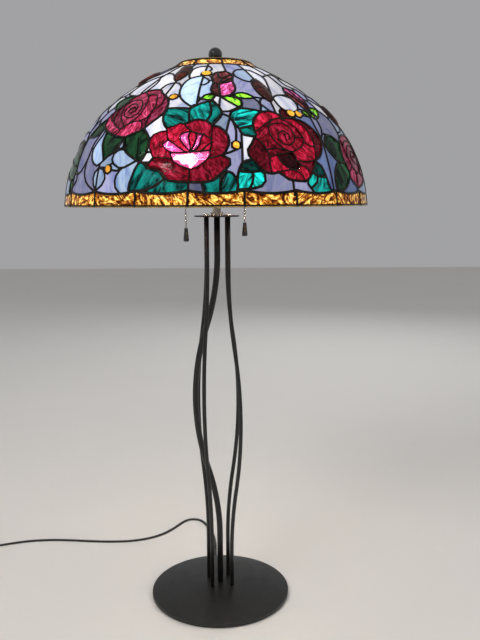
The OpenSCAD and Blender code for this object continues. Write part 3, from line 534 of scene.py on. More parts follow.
class Pattern:
    """The flat drawing of one half of the shade, cut into pieces of glass by its lines of lead."""

    def __init__(self):
        self.points, self.edges, self.widths = [], [], []

    def stroke(self, points, width, reach=0.0):
        """Adds a line of lead, run on at its ends by `reach` so that it meets the lines there."""
        flat = smooth_line([(x * FLAT, y) for x, y in points])
        if reach and flat[0] != flat[-1]:
            first, last = Vector(flat[0]), Vector(flat[-1])
            flat[0] = tuple(first + (first - Vector(flat[1])).normalized() * reach)
            flat[-1] = tuple(last + (last - Vector(flat[-2])).normalized() * reach)
        for turn in (-HALF_TURN, 0, HALF_TURN):
            moved = [(x + turn * FLAT, y) for x, y in flat]
            if all(x < LEFT_LIMIT or x > RIGHT_LIMIT for x, _ in moved):
                continue
            base = len(self.points)
            self.points.extend(moved)
            self.edges.extend([(base + i, base + i + 1) for i in range(len(moved) - 1)])
            self.widths.extend([width] * (len(moved) - 1))

    def fill(self, spacing):
        """Scatters points between the lines, so that the glass follows the dome."""
        tree = kdtree.KDTree(len(self.points))
        for i, p in enumerate(self.points):
            tree.insert((p[0], p[1], 0), i)
        tree.balance()
        row, up = 0, 3.0
        while up < PATTERN_TOP:
            x = LEFT_LIMIT + (spacing / 2 if row % 2 else 0)
            while x < RIGHT_LIMIT:
                if tree.find((x, up, 0))[2] > spacing * 0.45:
                    self.points.append((x, up))
                x += spacing
            up += spacing * 0.87
            row += 1

    def cut(self):
        """Cuts the drawing. Leaves `regions`, lists of triangles, and `leads`, edges with their widths."""
        points, edges, faces, _, from_edges, _ = geometry.delaunay_2d_cdt(
            [Vector(p) for p in self.points], self.edges, [], 0, 0.05)
        self.flat = points
        leads = {}
        for edge, sources in zip(edges, from_edges):
            if sources:
                leads[tuple(sorted(edge))] = max(self.widths[s] for s in sources)
        self.leads = prune(leads, points)
        parent = list(range(len(faces)))

        def root(i):
            while parent[i] != i:
                parent[i] = parent[parent[i]]
                i = parent[i]
            return i

        seen = {}
        for f, face in enumerate(faces):
            for a, b in zip(face, face[1:] + face[:1]):
                edge = (min(a, b), max(a, b))
                if edge in self.leads:
                    continue
                if edge in seen:
                    parent[root(f)] = root(seen[edge])
                else:
                    seen[edge] = f
        groups = {}
        for f, face in enumerate(faces):
            groups.setdefault(root(f), []).append(face)
        self.regions = [g for g in groups.values() if area(g, points) > SMALLEST_PIECE]


def area(triangles, points):
    """The area of a region in the flat drawing."""
    return sum(abs((points[b] - points[a]).cross(points[c] - points[a])) / 2 for a, b, c in triangles)


def prune(leads, points, stub=5.0):
    """Takes off the short loose ends where a line ran on past the one it meets."""
    leads = dict(leads)
    degree, at = {}, {}
    for edge in leads:
        for v in edge:
            degree[v] = degree.get(v, 0) + 1
            at.setdefault(v, set()).add(edge)
    for tip in [v for v, d in degree.items() if d == 1]:
        walked, length, v = [], 0.0, tip
        while len(at[v]) == (1 if not walked else 2):
            edge = next(e for e in at[v] if e not in walked)
            walked.append(edge)
            length += (points[edge[0]] - points[edge[1]]).length
            v = edge[0] if edge[1] == v else edge[1]
            if length > stub:
                break
        if length <= stub:
            for edge in walked:
                leads.pop(edge, None)
                for end in edge:
                    at[end].discard(edge)
    return leads


def seam_at(up):
    """Degrees round to the joint between the two halves, at that height."""
    for (x0, y0), (x1, y1) in zip(SEAM_LINE, SEAM_LINE[1:]):
        if y0 <= up <= y1:
            return x0 + (x1 - x0) * (up - y0) / max(y1 - y0, 1e-6)
    return SEAM_LINE[0][0] if up < SEAM_LINE[0][1] else SEAM_LINE[-1][0]


SEAM_LINE = smooth_line(SEAM)
LEFT_LIMIT, RIGHT_LIMIT = -102 * FLAT, 90 * FLAT
PATTERN_TOP = DOME_TOP + CROWN_W - 1
SCALLOP_HIGH, SCALLOP_LOW = 19.5, 15.6   # the border's top at its leads and between them
FIRST_BORDER, BORDER_STEP = -7.5, 18     # degrees to a border lead, and between two
CROWN_RING = 265.5                       # the amber ring at the top starts here
OUTLINE_LEAD, GROUND_LEAD, INNER_LEAD = 3.8, 3.4, 2.2
SMALLEST_PIECE = 8                       # square millimetres
RIM_EDGE = 0.5                           # the lowest lead, over the wire rim
ROSE_EDGES = 4                           # the first strokes of each rose go round its outside
LEAF_REACH, GROUND_REACH = 1.2, 2.5      # how far strokes run on, to meet the lines there
GRID = 6.5                               # between the points scattered over the glass


def draw_motifs(p):
    """The roses, leaves, buds and jewels, the ground round them, and the joint at each side."""
    for rose in (ROSE_LOW_LEFT, ROSE_MID_RIGHT, ROSE_HIGH_LEFT, ROSE_LOW_RIGHT):
        for k, points in enumerate(rose):
            p.stroke(points, OUTLINE_LEAD if k < ROSE_EDGES else INNER_LEAD, LEAF_REACH)
    for points in LEAVES + BUDS + JEWELS:
        p.stroke(points, OUTLINE_LEAD, LEAF_REACH)
    for points in GROUND:
        p.stroke(points, GROUND_LEAD, GROUND_REACH)
    for x, y, size in CABOCHONS:
        around = [math.radians(a) for a in range(0, 361, 30)]
        per_degree = math.radians(1) * outline(y)[0]
        p.stroke([(x + size * math.cos(a) / per_degree, y + size * math.sin(a)) for a in around],
                 OUTLINE_LEAD)
    p.stroke(SEAM, GROUND_LEAD)
    p.stroke([(x - HALF_TURN, y) for x, y in SEAM], GROUND_LEAD)


def draw_borders(p):
    """The amber pieces round the bottom, with their scalloped tops, and those round the crown."""
    def across(x, up, shares):
        return [(x + BORDER_STEP * t, up) for t in shares]

    quarters = (0, 0.25, 0.5, 0.75, 1)
    for k in range(-6, 6):
        x = FIRST_BORDER + k * BORDER_STEP
        p.stroke([(x, RIM_EDGE), (x, SCALLOP_HIGH)], GROUND_LEAD)
        dip = SCALLOP_HIGH - SCALLOP_LOW
        p.stroke([(x + BORDER_STEP * t, SCALLOP_HIGH - dip * math.sin(math.pi * t) ** 0.8)
                  for t in (0, 0.12, 0.3, 0.5, 0.7, 0.88, 1)], OUTLINE_LEAD)
        p.stroke(across(x, RIM_EDGE, (0, 0.5, 1)), INNER_LEAD)
        p.stroke(across(x, CROWN_RING, quarters), OUTLINE_LEAD)
        p.stroke(across(x, PATTERN_TOP, quarters), GROUND_LEAD)
        if k % 2:
            p.stroke([(x, CROWN_RING), (x, PATTERN_TOP)], GROUND_LEAD)


def draw_pattern():
    """The whole drawing of a half, cut into its pieces of glass."""
    p = Pattern()
    draw_motifs(p)
    draw_borders(p)
    p.fill(GRID)
    p.cut()
    return p


# ------------------------------------------------------------------ what each piece of glass is

# Node, glass, degrees round, millimetres up, and how far the flower reaches each way
ROSES = [
    ("rose_low_left", "crimson", -8, 73.3, 14.8, 44.6),
    ("rose_mid_right", "crimson", 28.5, 82, 16.3, 51),
    ("rose_high_left", "rose_pink", -35.5, 138, 16.2, 45.5),
    ("rose_low_right", "rose_pink", 68.8, 64, 12.8, 41),
]
# For each glass, the pieces cut from it: how light each is, and a point in it
PAINT = {
    "teal": [
        (0.35, 0.5, 24), (0.8, 5.8, 30), (0.85, 35.6, 30), (1.4, 11, 33), (2.1, 15.5, 34),
        (0.35, -22, 40), (0.08, 39.3, 48), (0.08, 12.5, 50), (0.3, 13.5, 98), (1.5, 12, 118),
        (0.5, -14.5, 122), (0.8, -5, 130), (0.35, 2, 130)],
    "green": [
        (1.3, 52, 38), (1.2, -72, 50), (1, -28, 80), (0.8, 52, 80), (0.9, -42, 85), (0.8, -55, 108),
        (0.9, -51, 160)],
    "lime": [
        (0.6, 47.8, 132), (0.55, 44.2, 133), (0.6, 52.5, 138), (1.7, 9.5, 150), (1.5, -2.2, 159),
        (2, 15, 162)],
    "bud_pink": [
        (0.5, 45.3, 172), (1, 7.6, 178)],
    "burgundy": [
        (1.3, 42.6, 165), (0.7, 1.6, 178), (1, 10.5, 204), (1.5, 8.5, 209), (0.9, 1.5, 212),
        (1.2, 8, 222)],
    "jewel": [
        (1, 70, 141), (1.3, 27, 180), (1, -65, 230), (1, -24, 232)],
    "crimson": [
        (0.85, 27.9, 38.5), (1, 32.8, 42.6), (0.45, -0.5, 46), (0.65, -14, 46.5), (1.2, 22.4, 52),
        (0.3, 34.9, 53), (0.05, 27.4, 58), (0.2, 16.7, 64.5), (1, 34.9, 68.8), (0.33, 23.1, 69.6),
        (1, -1.3, 74), (0.9, -18.6, 79.5), (0.9, -2.6, 81), (0.55, 2.7, 83), (1.3, -6.7, 87),
        (0.5, 20.2, 90.3), (0.6, 28, 91.7), (0.18, 41, 93), (1.25, -12.3, 94), (1.05, 36, 102.3),
        (0.65, -4, 104.5), (1.15, 21.4, 119.4), (0.14, 31.6, 129)],
    "rose_pink": [
        (0.6, 69, 36), (0.8, 61.6, 39.5), (0.4, 67.4, 67.4), (0.5, 58.6, 67.5), (1.5, -33.4, 105.4),
        (0.9, -45.8, 113.3), (0.45, -27.5, 114), (0.35, -43.7, 128), (0.25, -48.8, 133),
        (0.4, -23, 134), (1, -29.3, 143), (0.75, -38, 146.4)],
    # painted highlight: these pink pieces and the glare piece below paint the glow of the left bulb seen
    # through the low left rose, on clear glass that also shows the real bulb
    "magenta": [
        (0.7, -13.7, 75.7), (0.3, -4.8, 83), (0.55, -9.1, 86)],
    "glare": [
        (0.5, -7, 60)],
    "white": [
        (1.2, -22.3, 62), (1, -22.5, 77.8), (1.1, 13, 82), (1.2, -21.5, 106), (0.9, 7, 138),
        (1.05, -15, 148), (1, 1.8, 150), (0.85, 36.5, 152), (1, -19.5, 180), (0.75, -25.5, 182),
        (0.7, 36, 190), (0.85, -48, 200), (1, -33, 205), (0.7, -20, 205), (0.85, 32, 222),
        (1, -12, 230), (0.8, -49, 235), (0.7, -3.7, 240), (0.75, 3, 240), (0.7, -36, 250)],
    "pale_blue": [
        (0.75, -41.3, 35), (0.95, -30, 36), (0.7, -39, 61.5), (1, -47, 78), (0.55, 4.4, 112),
        (1.15, -3.5, 175), (1.55, -12, 180), (1.05, -4.3, 200), (0.75, 21, 220)],
    "lavender": [
        (0.35, -5, 24), (0.95, 30, 24), (0.65, 23, 26), (0.6, -55, 30), (1.1, -37, 30),
        (0.6, -49.5, 50), (0.9, 7.5, 60), (0.6, -56.5, 75), (1.1, 8, 93), (0.7, 47.2, 112),
        (0.5, 56, 122), (0.45, 17, 146), (0.8, 24, 150), (0.9, 18, 185), (0.8, 16, 250)],
    "deep_blue": [
        (1, 43.3, 40), (0.9, 46.3, 60), (0.9, 42.8, 115)],
}
TINTS = {
    # the pink glow and glare tints are painted highlight of the left bulb seen through the low left rose
    "crimson": (0.4, 0.006, 0.03), "rose_pink": (0.42, 0.028, 0.09), "magenta": (0.85, 0.1, 0.38),
    "glare": (0.95, 0.13, 0.36), "bud_pink": (0.8, 0.1, 0.36), "burgundy": (0.12, 0.016, 0.02),
    "teal": (0.005, 0.42, 0.37), "green": (0.006, 0.04, 0.014), "lime": (0.2, 0.7, 0.03),
    "jewel": (0.045, 0.018, 0.018), "cabochon": (0.75, 0.42, 0.05), "amber": (0.42, 0.175, 0.02),
    "white": (0.78, 0.77, 0.82), "lavender": (0.36, 0.37, 0.57), "pale_blue": (0.42, 0.55, 0.74),
    "deep_blue": (0.15, 0.2, 0.38),
}
ROSE_GLASS = ("crimson", "rose_pink", "magenta", "glare")
GROUND_GLASS = ("white", "lavender", "pale_blue", "deep_blue")
GROUND_COURSES = [69, 122, 176, 223, 300]   # where each course of ground glass ends, going up
LEAF_NODES = {"teal": "teal_leaf_glass", "green": "green_leaf_glass", "lime": "green_leaf_glass",
              "burgundy": "rosebud_glass", "bud_pink": "rosebud_glass", "jewel": "jewel_glass"}
BORDER_LIGHT, CROWN_LIGHT = 1.0, 1.1
CABOCHON_FLAT = 2.6                        # millimetres to a degree, about, where the cabochons are
UNNAMED_ROSE, UNNAMED_GROUND = (0.3, 0.9), (0.6, 0.9)   # how light pieces that PAINT leaves out may be
HIGH_GROUND = 150                          # above this the ground glass is mostly white


def middle(triangles, flat):
    """The middle of a region, in degrees and millimetres."""
    total, x, y = 0.0, 0.0, 0.0
    for a, b, c in triangles:
        size = abs((flat[b] - flat[a]).cross(flat[c] - flat[a]))
        total += size
        x += size * (flat[a][0] + flat[b][0] + flat[c][0]) / 3
        y += size * (flat[a][1] + flat[b][1] + flat[c][1]) / 3
    return x / total / FLAT, y / total


def holds(triangles, flat, x, y):
    """Whether the region holds the point, given in degrees and millimetres."""
    p = Vector((x * FLAT, y))
    return any(geometry.intersect_point_tri_2d(p, *(flat[i] for i in t)) for t in triangles)


def rose_at(angle, up):
    """The nearest rose, its glass, and how far off its middle the place is: 1 at its edge."""
    def away(rose):
        _, _, x, y, across, tall = rose
        return ((angle - x) / across) ** 2 + ((up - y) / tall) ** 2

    rose = min(ROSES, key=away)
    return rose[0], rose[1], away(rose)


def glass_of(triangles, flat):
    """The node that a region belongs to, its glass, and how light it is."""
    angle, up = middle(triangles, flat)
    if up < SCALLOP_LOW * 0.75:
        return "border_glass", "amber", BORDER_LIGHT
    if up > CROWN_RING:
        return "crown_glass", "amber", CROWN_LIGHT
    for x, y, size in CABOCHONS:
        if math.hypot((angle - x) * CABOCHON_FLAT, up - y) < size * 0.7:
            return "jewel_glass", "cabochon", 1.0
    for glass, places in PAINT.items():
        for light, x, y in places:
            if holds(triangles, flat, x, y):
                node = rose_at(angle, up)[0] if glass in ROSE_GLASS else ground_node(up)
                return LEAF_NODES.get(glass, node), glass, light
    node, glass, away = rose_at(angle, up)
    if away < 1:
        return node, glass, RNG.uniform(*UNNAMED_ROSE)
    glass = RNG.choice(("white", "white", "lavender") if up > HIGH_GROUND else ("lavender", "pale_blue"))
    return ground_node(up), glass, RNG.uniform(*UNNAMED_GROUND)


def ground_node(up):
    """The node of the course that ground glass at that height belongs to."""
    return "ground_glass_%d" % (1 + sum(up > top for top in GROUND_COURSES))


SIDE_SHADE = 0.62                    # painted shade: how much dimmer the glass's painted glow is towards the joints between the halves
SHADE_FROM, SHADE_OVER = 45, 40      # degrees from a half's middle to where it starts, and until it is full
HALF_MIDDLE = -7.5
EVEN_LIGHT, BULB_LIGHT = 0.7, 0.22   # the shares of light that bounces about, and of each bulb's own
BULB_REACH, LEAST_FACING = 170, 0.15


def lamplight(point, normal, degrees):
    """Painted light: how brightly the bulbs light a place on the glass, that far round its half of the
    shade, with painted shade towards the joints.
    """
    total = 0.0
    for bulb_place in BULB_AT:
        ray = point - bulb_place
        total += max(LEAST_FACING, ray.normalized().dot(normal)) * (BULB_REACH / ray.length) ** 2
    side = min(1.0, max(0.0, (abs(degrees - HALF_MIDDLE) - SHADE_FROM) / SHADE_OVER))
    return (EVEN_LIGHT + BULB_LIGHT * total) * (1 - SIDE_SHADE * side)


BULGE = {"jewel": 4.5, "cabochon": 3.2}   # how far the middle of a pressed piece stands out


def rim_edges(triangles, index):
    """The edges round the outside of a region."""
    sides = [edge for t in triangles for edge in ((t[0], t[1]), (t[1], t[2]), (t[2], t[0]))]
    met = set(sides)
    return [(index[a], index[b]) for a, b in dict.fromkeys(sides) if (b, a) not in met]


def set_back(raw, normals, rim):
    """The points of a piece with its edge moved in from the middle of its leads."""
    shift = [Vector() for _ in raw]
    for a, b in rim:
        inward = normals[a].cross(raw[b] - raw[a]).normalized()
        shift[a] += inward
        shift[b] += inward
    return [p + s.normalized() * PIECE_INSET if s.length > 0.01 else p.copy() for p, s in zip(raw, shift)]


def swells(raw, rim, bulge):
    """How far each point of a pressed piece stands out: a smooth mound, level with the lead at its edge."""
    if not bulge:
        return [0.0] * len(raw)
    gaps = [min((p - raw[a]).length for a, _ in rim) for p in raw]
    reach = max(gaps)
    return [bulge * math.sqrt(max(0.0, 1 - (1 - gap / reach) ** 2)) for gap in gaps]


def add_piece(shell, triangles, flat, glass, light, turn):
    """One piece of glass: a curved plate with its own tint, and streaks that run its own way."""
    used = sorted({i for t in triangles for i in t})
    index = {v: k for k, v in enumerate(used)}
    rim = rim_edges(triangles, index)
    place = [(flat[v][0] / FLAT + turn, flat[v][1]) for v in used]
    normals = [normal_at(x, y) for x, y in place]
    raw = [on_dome(x, y, -GLASS_SET) / MM for x, y in place]
    rng = random.Random(round(sum(x for x, _ in place) + 7 * turn))
    heading = rng.uniform(-0.5, 0.5) if glass in GROUND_GLASS else rng.uniform(-1.2, 1.2)
    offset = Vector((rng.uniform(-9, 9), rng.uniform(-9, 9), rng.uniform(-9, 9)))
    tone = light * rng.uniform(0.92, 1.08)
    tint = [c * tone for c in TINTS[glass]]
    outer, inner, tints, streaks = [], [], [], []
    rows = zip(place, set_back(raw, normals, rim), normals, swells(raw, rim, BULGE.get(glass)))
    for (x, y), p, normal, swell in rows:
        outer.append((p + normal * swell) * MM)
        inner.append((p - normal * GLASS_T) * MM)
        # the fourth part of each tint is the painted lamplight that the glass's emission shows
        tints.append((*tint, lamplight(p, normal, x - turn)))
        u = math.radians(x - place[0][0]) * outline(y)[0]
        v = y - place[0][1]
        streaks.append(((u * math.cos(heading) + v * math.sin(heading)) * MM + offset[0],
                        (v * math.cos(heading) - u * math.sin(heading)) * MM + offset[1], offset[2]))
    n = len(used)
    faces = [tuple(index[i] for i in t) for t in triangles]
    faces += [tuple(n + i for i in reversed(face)) for face in faces]
    faces += [(b, a, n + a, n + b) for a, b in rim]
    shell.add(outer + inner, faces, tints + tints, streaks + streaks)


def lead_chains(leads):
    """Walks the lines of lead from joint to joint. Each chain is a list of points and a width."""
    at = {}
    for (a, b), width in leads.items():
        at.setdefault(a, []).append((b, width))
        at.setdefault(b, []).append((a, width))
    joints = {v for v, ends in at.items() if len(ends) != 2}
    done, chains = set(), []
    starts = sorted(joints) + sorted(at)
    for start in starts:
        for nxt, width in at[start]:
            if (start, nxt) in done:
                continue
            chain, a, b = [start, nxt], start, nxt
            done.update({(a, b), (b, a)})
            while b not in joints and b != start:
                c = next((v for v, _ in at[b] if v != a), None)
                if c is None or (b, c) in done:
                    break
                done.update({(b, c), (c, b)})
                chain.append(c)
                a, b = b, c
            chains.append((chain, width))
    return chains, joints


# The section of a seam, as shares of half its width across and in millimetres up
BEAD = [(1, -0.35), (0.86, 0.3), (0.5, 0.72), (0, 0.9), (-0.5, 0.72), (-0.86, 0.3), (-1, -0.35),
        (-0.34, -0.75), (-0.34, -2.5), (-0.95, -2.9), (-0.5, -3.5), (0.5, -3.5), (0.95, -2.9),
        (0.34, -2.5), (0.34, -0.75)]


def add_lead(shell, places, width):
    """A seam of solder: a rounded bead inside and out, joined by a web between the glass edges."""
    if len(places) > 3:
        places = [places[0]] + [p for i, p in enumerate(places[1:-1]) if i % 2] + [places[-1]]
    points = [on_dome(x, y) for x, y in places]
    ups = [normal_at(x, y) for x, y in places]
    sides = [t.cross(u).normalized() for t, u in zip(directions(points), ups)]
    section = [(x * width / 2, y * (0.75 + width / 12)) for x, y in reversed(BEAD)]
    verts, faces = sweep(points, sides, ups, section)
    shell.add(verts, faces)


BLOB = [(2.0, -0.375), (1.72, 0.525), (1.0, 1.075)]   # the radius and height of each ring of a mound
BLOB_TOP, BLOB_SIDES = 1.2, 10


def add_blob(shell, place):
    """The small mound of solder where seams meet."""
    centre, up = on_dome(*place, -0.1), normal_at(*place)
    side = up.orthogonal().normalized()
    fore = up.cross(side)
    verts, faces = [], []
    for radius, height in BLOB:
        ring = ring_section(radius, BLOB_SIDES)
        verts += [centre + (side * x + fore * y + up * height) * MM for x, y in ring]
    verts.append(centre + up * BLOB_TOP * MM)
    rounds = [(k, (k + 1) % BLOB_SIDES) for k in range(BLOB_SIDES)]
    for base in range(0, BLOB_SIDES * (len(BLOB) - 1), BLOB_SIDES):
        faces += [(base + a, base + b, base + b + BLOB_SIDES, base + a + BLOB_SIDES) for a, b in rounds]
    last = BLOB_SIDES * (len(BLOB) - 1)
    faces += [(last + a, last + b, last + BLOB_SIDES) for a, b in rounds]
    faces.append(tuple(reversed(range(BLOB_SIDES))))
    shell.add(verts, faces)


def this_half(region, flat):
    """The triangles of a region that lie between the two joints."""
    kept = []
    for t in region:
        x, y = (flat[t[0]] + flat[t[1]] + flat[t[2]]) / 3
        if 0 < seam_at(y) - x / FLAT < HALF_TURN:
            kept.append(t)
    return kept


FINISH = {
    "crimson": "ruby_glass", "rose_pink": "ruby_glass", "bud_pink": "ruby_glass", "burgundy": "ruby_glass",
    "magenta": "ruby_clear", "glare": "ruby_clear", "teal": "leaf_glass", "green": "leaf_glass",
    "lime": "leaf_glass", "jewel": "jewel_dark", "cabochon": "amber_clear", "amber": "amber_hammered",
    "white": "opal", "lavender": "opal", "pale_blue": "opal", "deep_blue": "opal",
}
SLOTS = {part["node"]: part["material_slot"] for part in frame["record"]["subparts"]}


def build_glass(pattern, materials):
    """Every piece of glass, twice round, gathered by its node and its finish."""
    shells = {}
    for region in pattern.regions:
        triangles = this_half(region, pattern.flat)
        if area(triangles, pattern.flat) < SMALLEST_PIECE:
            continue
        node, glass, light = glass_of(triangles, pattern.flat)
        shell = shells.setdefault((node, FINISH[glass]), Shell())
        for turn in (0, HALF_TURN):
            add_piece(shell, triangles, pattern.flat, glass, light, turn)
    for (node, finish), shell in sorted(shells.items()):
        shell.piece(node + "_" + finish, materials[finish], "shade", SLOTS[node], (node,))


def build_seams(pattern, materials):
    """The solder over every joint between two pieces, twice round."""
    def this_side(x, y):
        return seam_at(y) - HALF_TURN - 0.02 < x < seam_at(y) - 0.02

    solder = Shell()
    chains, joints = lead_chains(pattern.leads)
    for chain, width in chains:
        places = [(pattern.flat[v][0] / FLAT, pattern.flat[v][1]) for v in chain]
        if this_side(*places[len(places) // 2]):
            for turn in (0, HALF_TURN):
                add_lead(solder, [(x + turn, y) for x, y in places], width)
    for v in sorted(joints):
        x, y = pattern.flat[v][0] / FLAT, pattern.flat[v][1]
        if this_side(x, y):
            for turn in (0, HALF_TURN):
                add_blob(solder, (x + turn, y))
    solder.piece("lead_seams", materials["lead"], "shade", "lead", ("lead_lines",))


# ------------------------------------------------------------------ materials


class Nodes:
    """A short way to write a node material."""

    def __init__(self, name):
        self.material = bpy.data.materials.new(name)
        self.material.use_nodes = True
        self.tree = self.material.node_tree
        self.shader = self.tree.nodes["Principled BSDF"]
        self.object = self.add("ShaderNodeTexCoord").outputs["Object"]

    def add(self, kind, **values):
        node = self.tree.nodes.new(kind)
        for key, value in values.items():
            setattr(node, key, value)
        return node

    def link(self, source, target):
        self.tree.links.new(source, target)

    def set(self, **values):
        for key, value in values.items():
            self.shader.inputs[key.replace("_", " ")].default_value = value

    def noise(self, vector, scale, detail=4.0, roughness=0.55, distortion=0.0):
        node = self.add("ShaderNodeTexNoise")
        self.link(vector, node.inputs["Vector"])
        node.inputs["Scale"].default_value = scale
        node.inputs["Detail"].default_value = detail
        node.inputs["Roughness"].default_value = roughness
        node.inputs["Distortion"].default_value = distortion
        return node.outputs["Fac"]

    def stretched(self, vector, scale):
        node = self.add("ShaderNodeMapping")
        self.link(vector, node.inputs["Vector"])
        node.inputs["Scale"].default_value = scale
        return node.outputs["Vector"]

    def ramp(self, fac, stops):
        node = self.add("ShaderNodeValToRGB")
        self.link(fac, node.inputs["Fac"])
        ramp = node.color_ramp
        while len(ramp.elements) < len(stops):
            ramp.elements.new(0.5)
        for element, (place, colour) in zip(ramp.elements, stops):
            element.position = place
            element.color = (*colour, 1)
        return node.outputs["Color"]

    def between(self, fac, low, high, start=0.3, end=0.7):
        node = self.add("ShaderNodeMapRange")
        self.link(fac, node.inputs["Value"])
        node.inputs["From Min"].default_value = start
        node.inputs["From Max"].default_value = end
        node.inputs["To Min"].default_value = low
        node.inputs["To Max"].default_value = high
        return node.outputs["Result"]

    def mix(self, a, b, fac=1.0, kind="MIX"):
        node = self.add("ShaderNodeMix", data_type="RGBA", blend_type=kind)
        for value, socket in ((a, node.inputs[6]), (b, node.inputs[7]), (fac, node.inputs[0])):
            if hasattr(value, "is_linked"):
                self.link(value, socket)
            elif isinstance(value, tuple):
                socket.default_value = (*value, 1)
            else:
                socket.default_value = value
        return node.outputs[2]

    def bump(self, height, strength, distance=0.0005):
        node = self.add("ShaderNodeBump")
        node.inputs["Strength"].default_value = strength
        node.inputs["Distance"].default_value = distance
        self.link(height, node.inputs["Height"])
        self.link(node.outputs["Normal"], self.shader.inputs["Normal"])


def lit_glass(name, stops, along, scale, strength, clear, roughness, ripple, swirl, body):
    """Glass that glows with painted lamplight, as if lit from behind. The piece's own tint is broken up by
    streaks that run its own way, and its emission is that streaked tint scaled by the painted glow in the
    tint's alpha.

    `along` is how drawn out the streaks are, and `body` how much of the tint the surface itself shows.
    """
    m = Nodes(name)
    tint = m.add("ShaderNodeAttribute", attribute_name="tint")
    streak = m.add("ShaderNodeAttribute", attribute_name="streak")
    pulled = m.stretched(streak.outputs["Vector"], (1.0, along, 1.0))
    pattern = m.noise(pulled, scale, 5.0, 0.6, swirl)
    colour = m.mix(tint.outputs["Color"], m.ramp(pattern, stops), 1.0, "MULTIPLY")
    m.link(m.mix(colour, (0, 0, 0), 1 - body), m.shader.inputs["Base Color"])
    # painted light: the emission colour is the streaked tint scaled by the painted lamplight in the
    # attribute's alpha
    lit = m.add("ShaderNodeVectorMath", operation="SCALE")
    m.link(colour, lit.inputs[0])
    m.link(tint.outputs["Alpha"], lit.inputs["Scale"])
    m.link(lit.outputs["Vector"], m.shader.inputs["Emission Color"])
    m.set(Emission_Strength=strength, Transmission_Weight=clear, IOR=1.5, Specular_IOR_Level=0.14)
    fine = m.noise(m.object, 260.0, 2.0)
    m.link(m.between(fine, roughness * 0.7, roughness * 1.4), m.shader.inputs["Roughness"])
    m.bump(m.noise(pulled, scale * 1.8, 3.0), ripple)
    return m.material


def metal(name, colour, roughness, grain, strength=0.05, metallic=1.0, dark=0.6):
    """Metal with faint tarnish and a fine grain."""
    m = Nodes(name)
    cloud = m.noise(m.object, 55.0, 5.0)
    worn = tuple(c * dark for c in colour)
    m.link(m.mix(worn, colour, m.between(cloud, 0.0, 1.0, 0.35, 0.6)), m.shader.inputs["Base Color"])
    wear = m.noise(m.object, 190.0)
    m.link(m.between(wear, roughness * 0.75, roughness * 1.35), m.shader.inputs["Roughness"])
    m.set(Metallic=metallic)
    m.bump(m.noise(m.object, grain, 2.0), strength, 0.0002)
    return m.material


def enamel(name, colour, roughness, grain, strength, coat=0.0, speckle=1.5):
    """Paint, plastic or glaze: a colour with slight clouding and a fine orange-peel skin."""
    m = Nodes(name)
    light = tuple(min(1.0, c * speckle) for c in colour)
    cloud = m.noise(m.object, 130.0, 6.0)
    m.link(m.mix(colour, light, m.between(cloud, 0.0, 1.0, 0.45, 0.7)), m.shader.inputs["Base Color"])
    wear = m.noise(m.object, 45.0)
    m.link(m.between(wear, roughness * 0.85, roughness * 1.2), m.shader.inputs["Roughness"])
    m.set(Coat_Weight=coat, Coat_Roughness=0.08)
    m.bump(m.noise(m.object, grain, 2.0), strength, 0.0003)
    return m.material


def felt(name):
    """Pressed wool: short fibres with a little sheen."""
    m = Nodes(name)
    fibre = m.noise(m.stretched(m.object, (1.0, 2.5, 1.0)), 900.0, 6.0, 0.7, 2.0)
    m.link(m.mix((0.02, 0.022, 0.02), (0.07, 0.075, 0.065), fibre), m.shader.inputs["Base Color"])
    m.set(Roughness=0.95, Sheen_Weight=0.4)
    m.bump(fibre, 0.6, 0.0006)
    return m.material


def bulb(name):
    """A frosted bulb that is switched on."""
    m = Nodes(name)
    frost = m.noise(m.object, 700.0, 3.0)
    m.link(m.mix((1.0, 0.8, 0.55), (1.0, 0.88, 0.68), frost), m.shader.inputs["Emission Color"])
    m.link(m.mix((0.9, 0.88, 0.82), (0.97, 0.95, 0.9), frost), m.shader.inputs["Base Color"])
    m.set(Emission_Strength=BULB_STRENGTH, Roughness=0.4)
    m.bump(frost, 0.1, 0.0001)
    return m.material


BULB_STRENGTH = 90.0


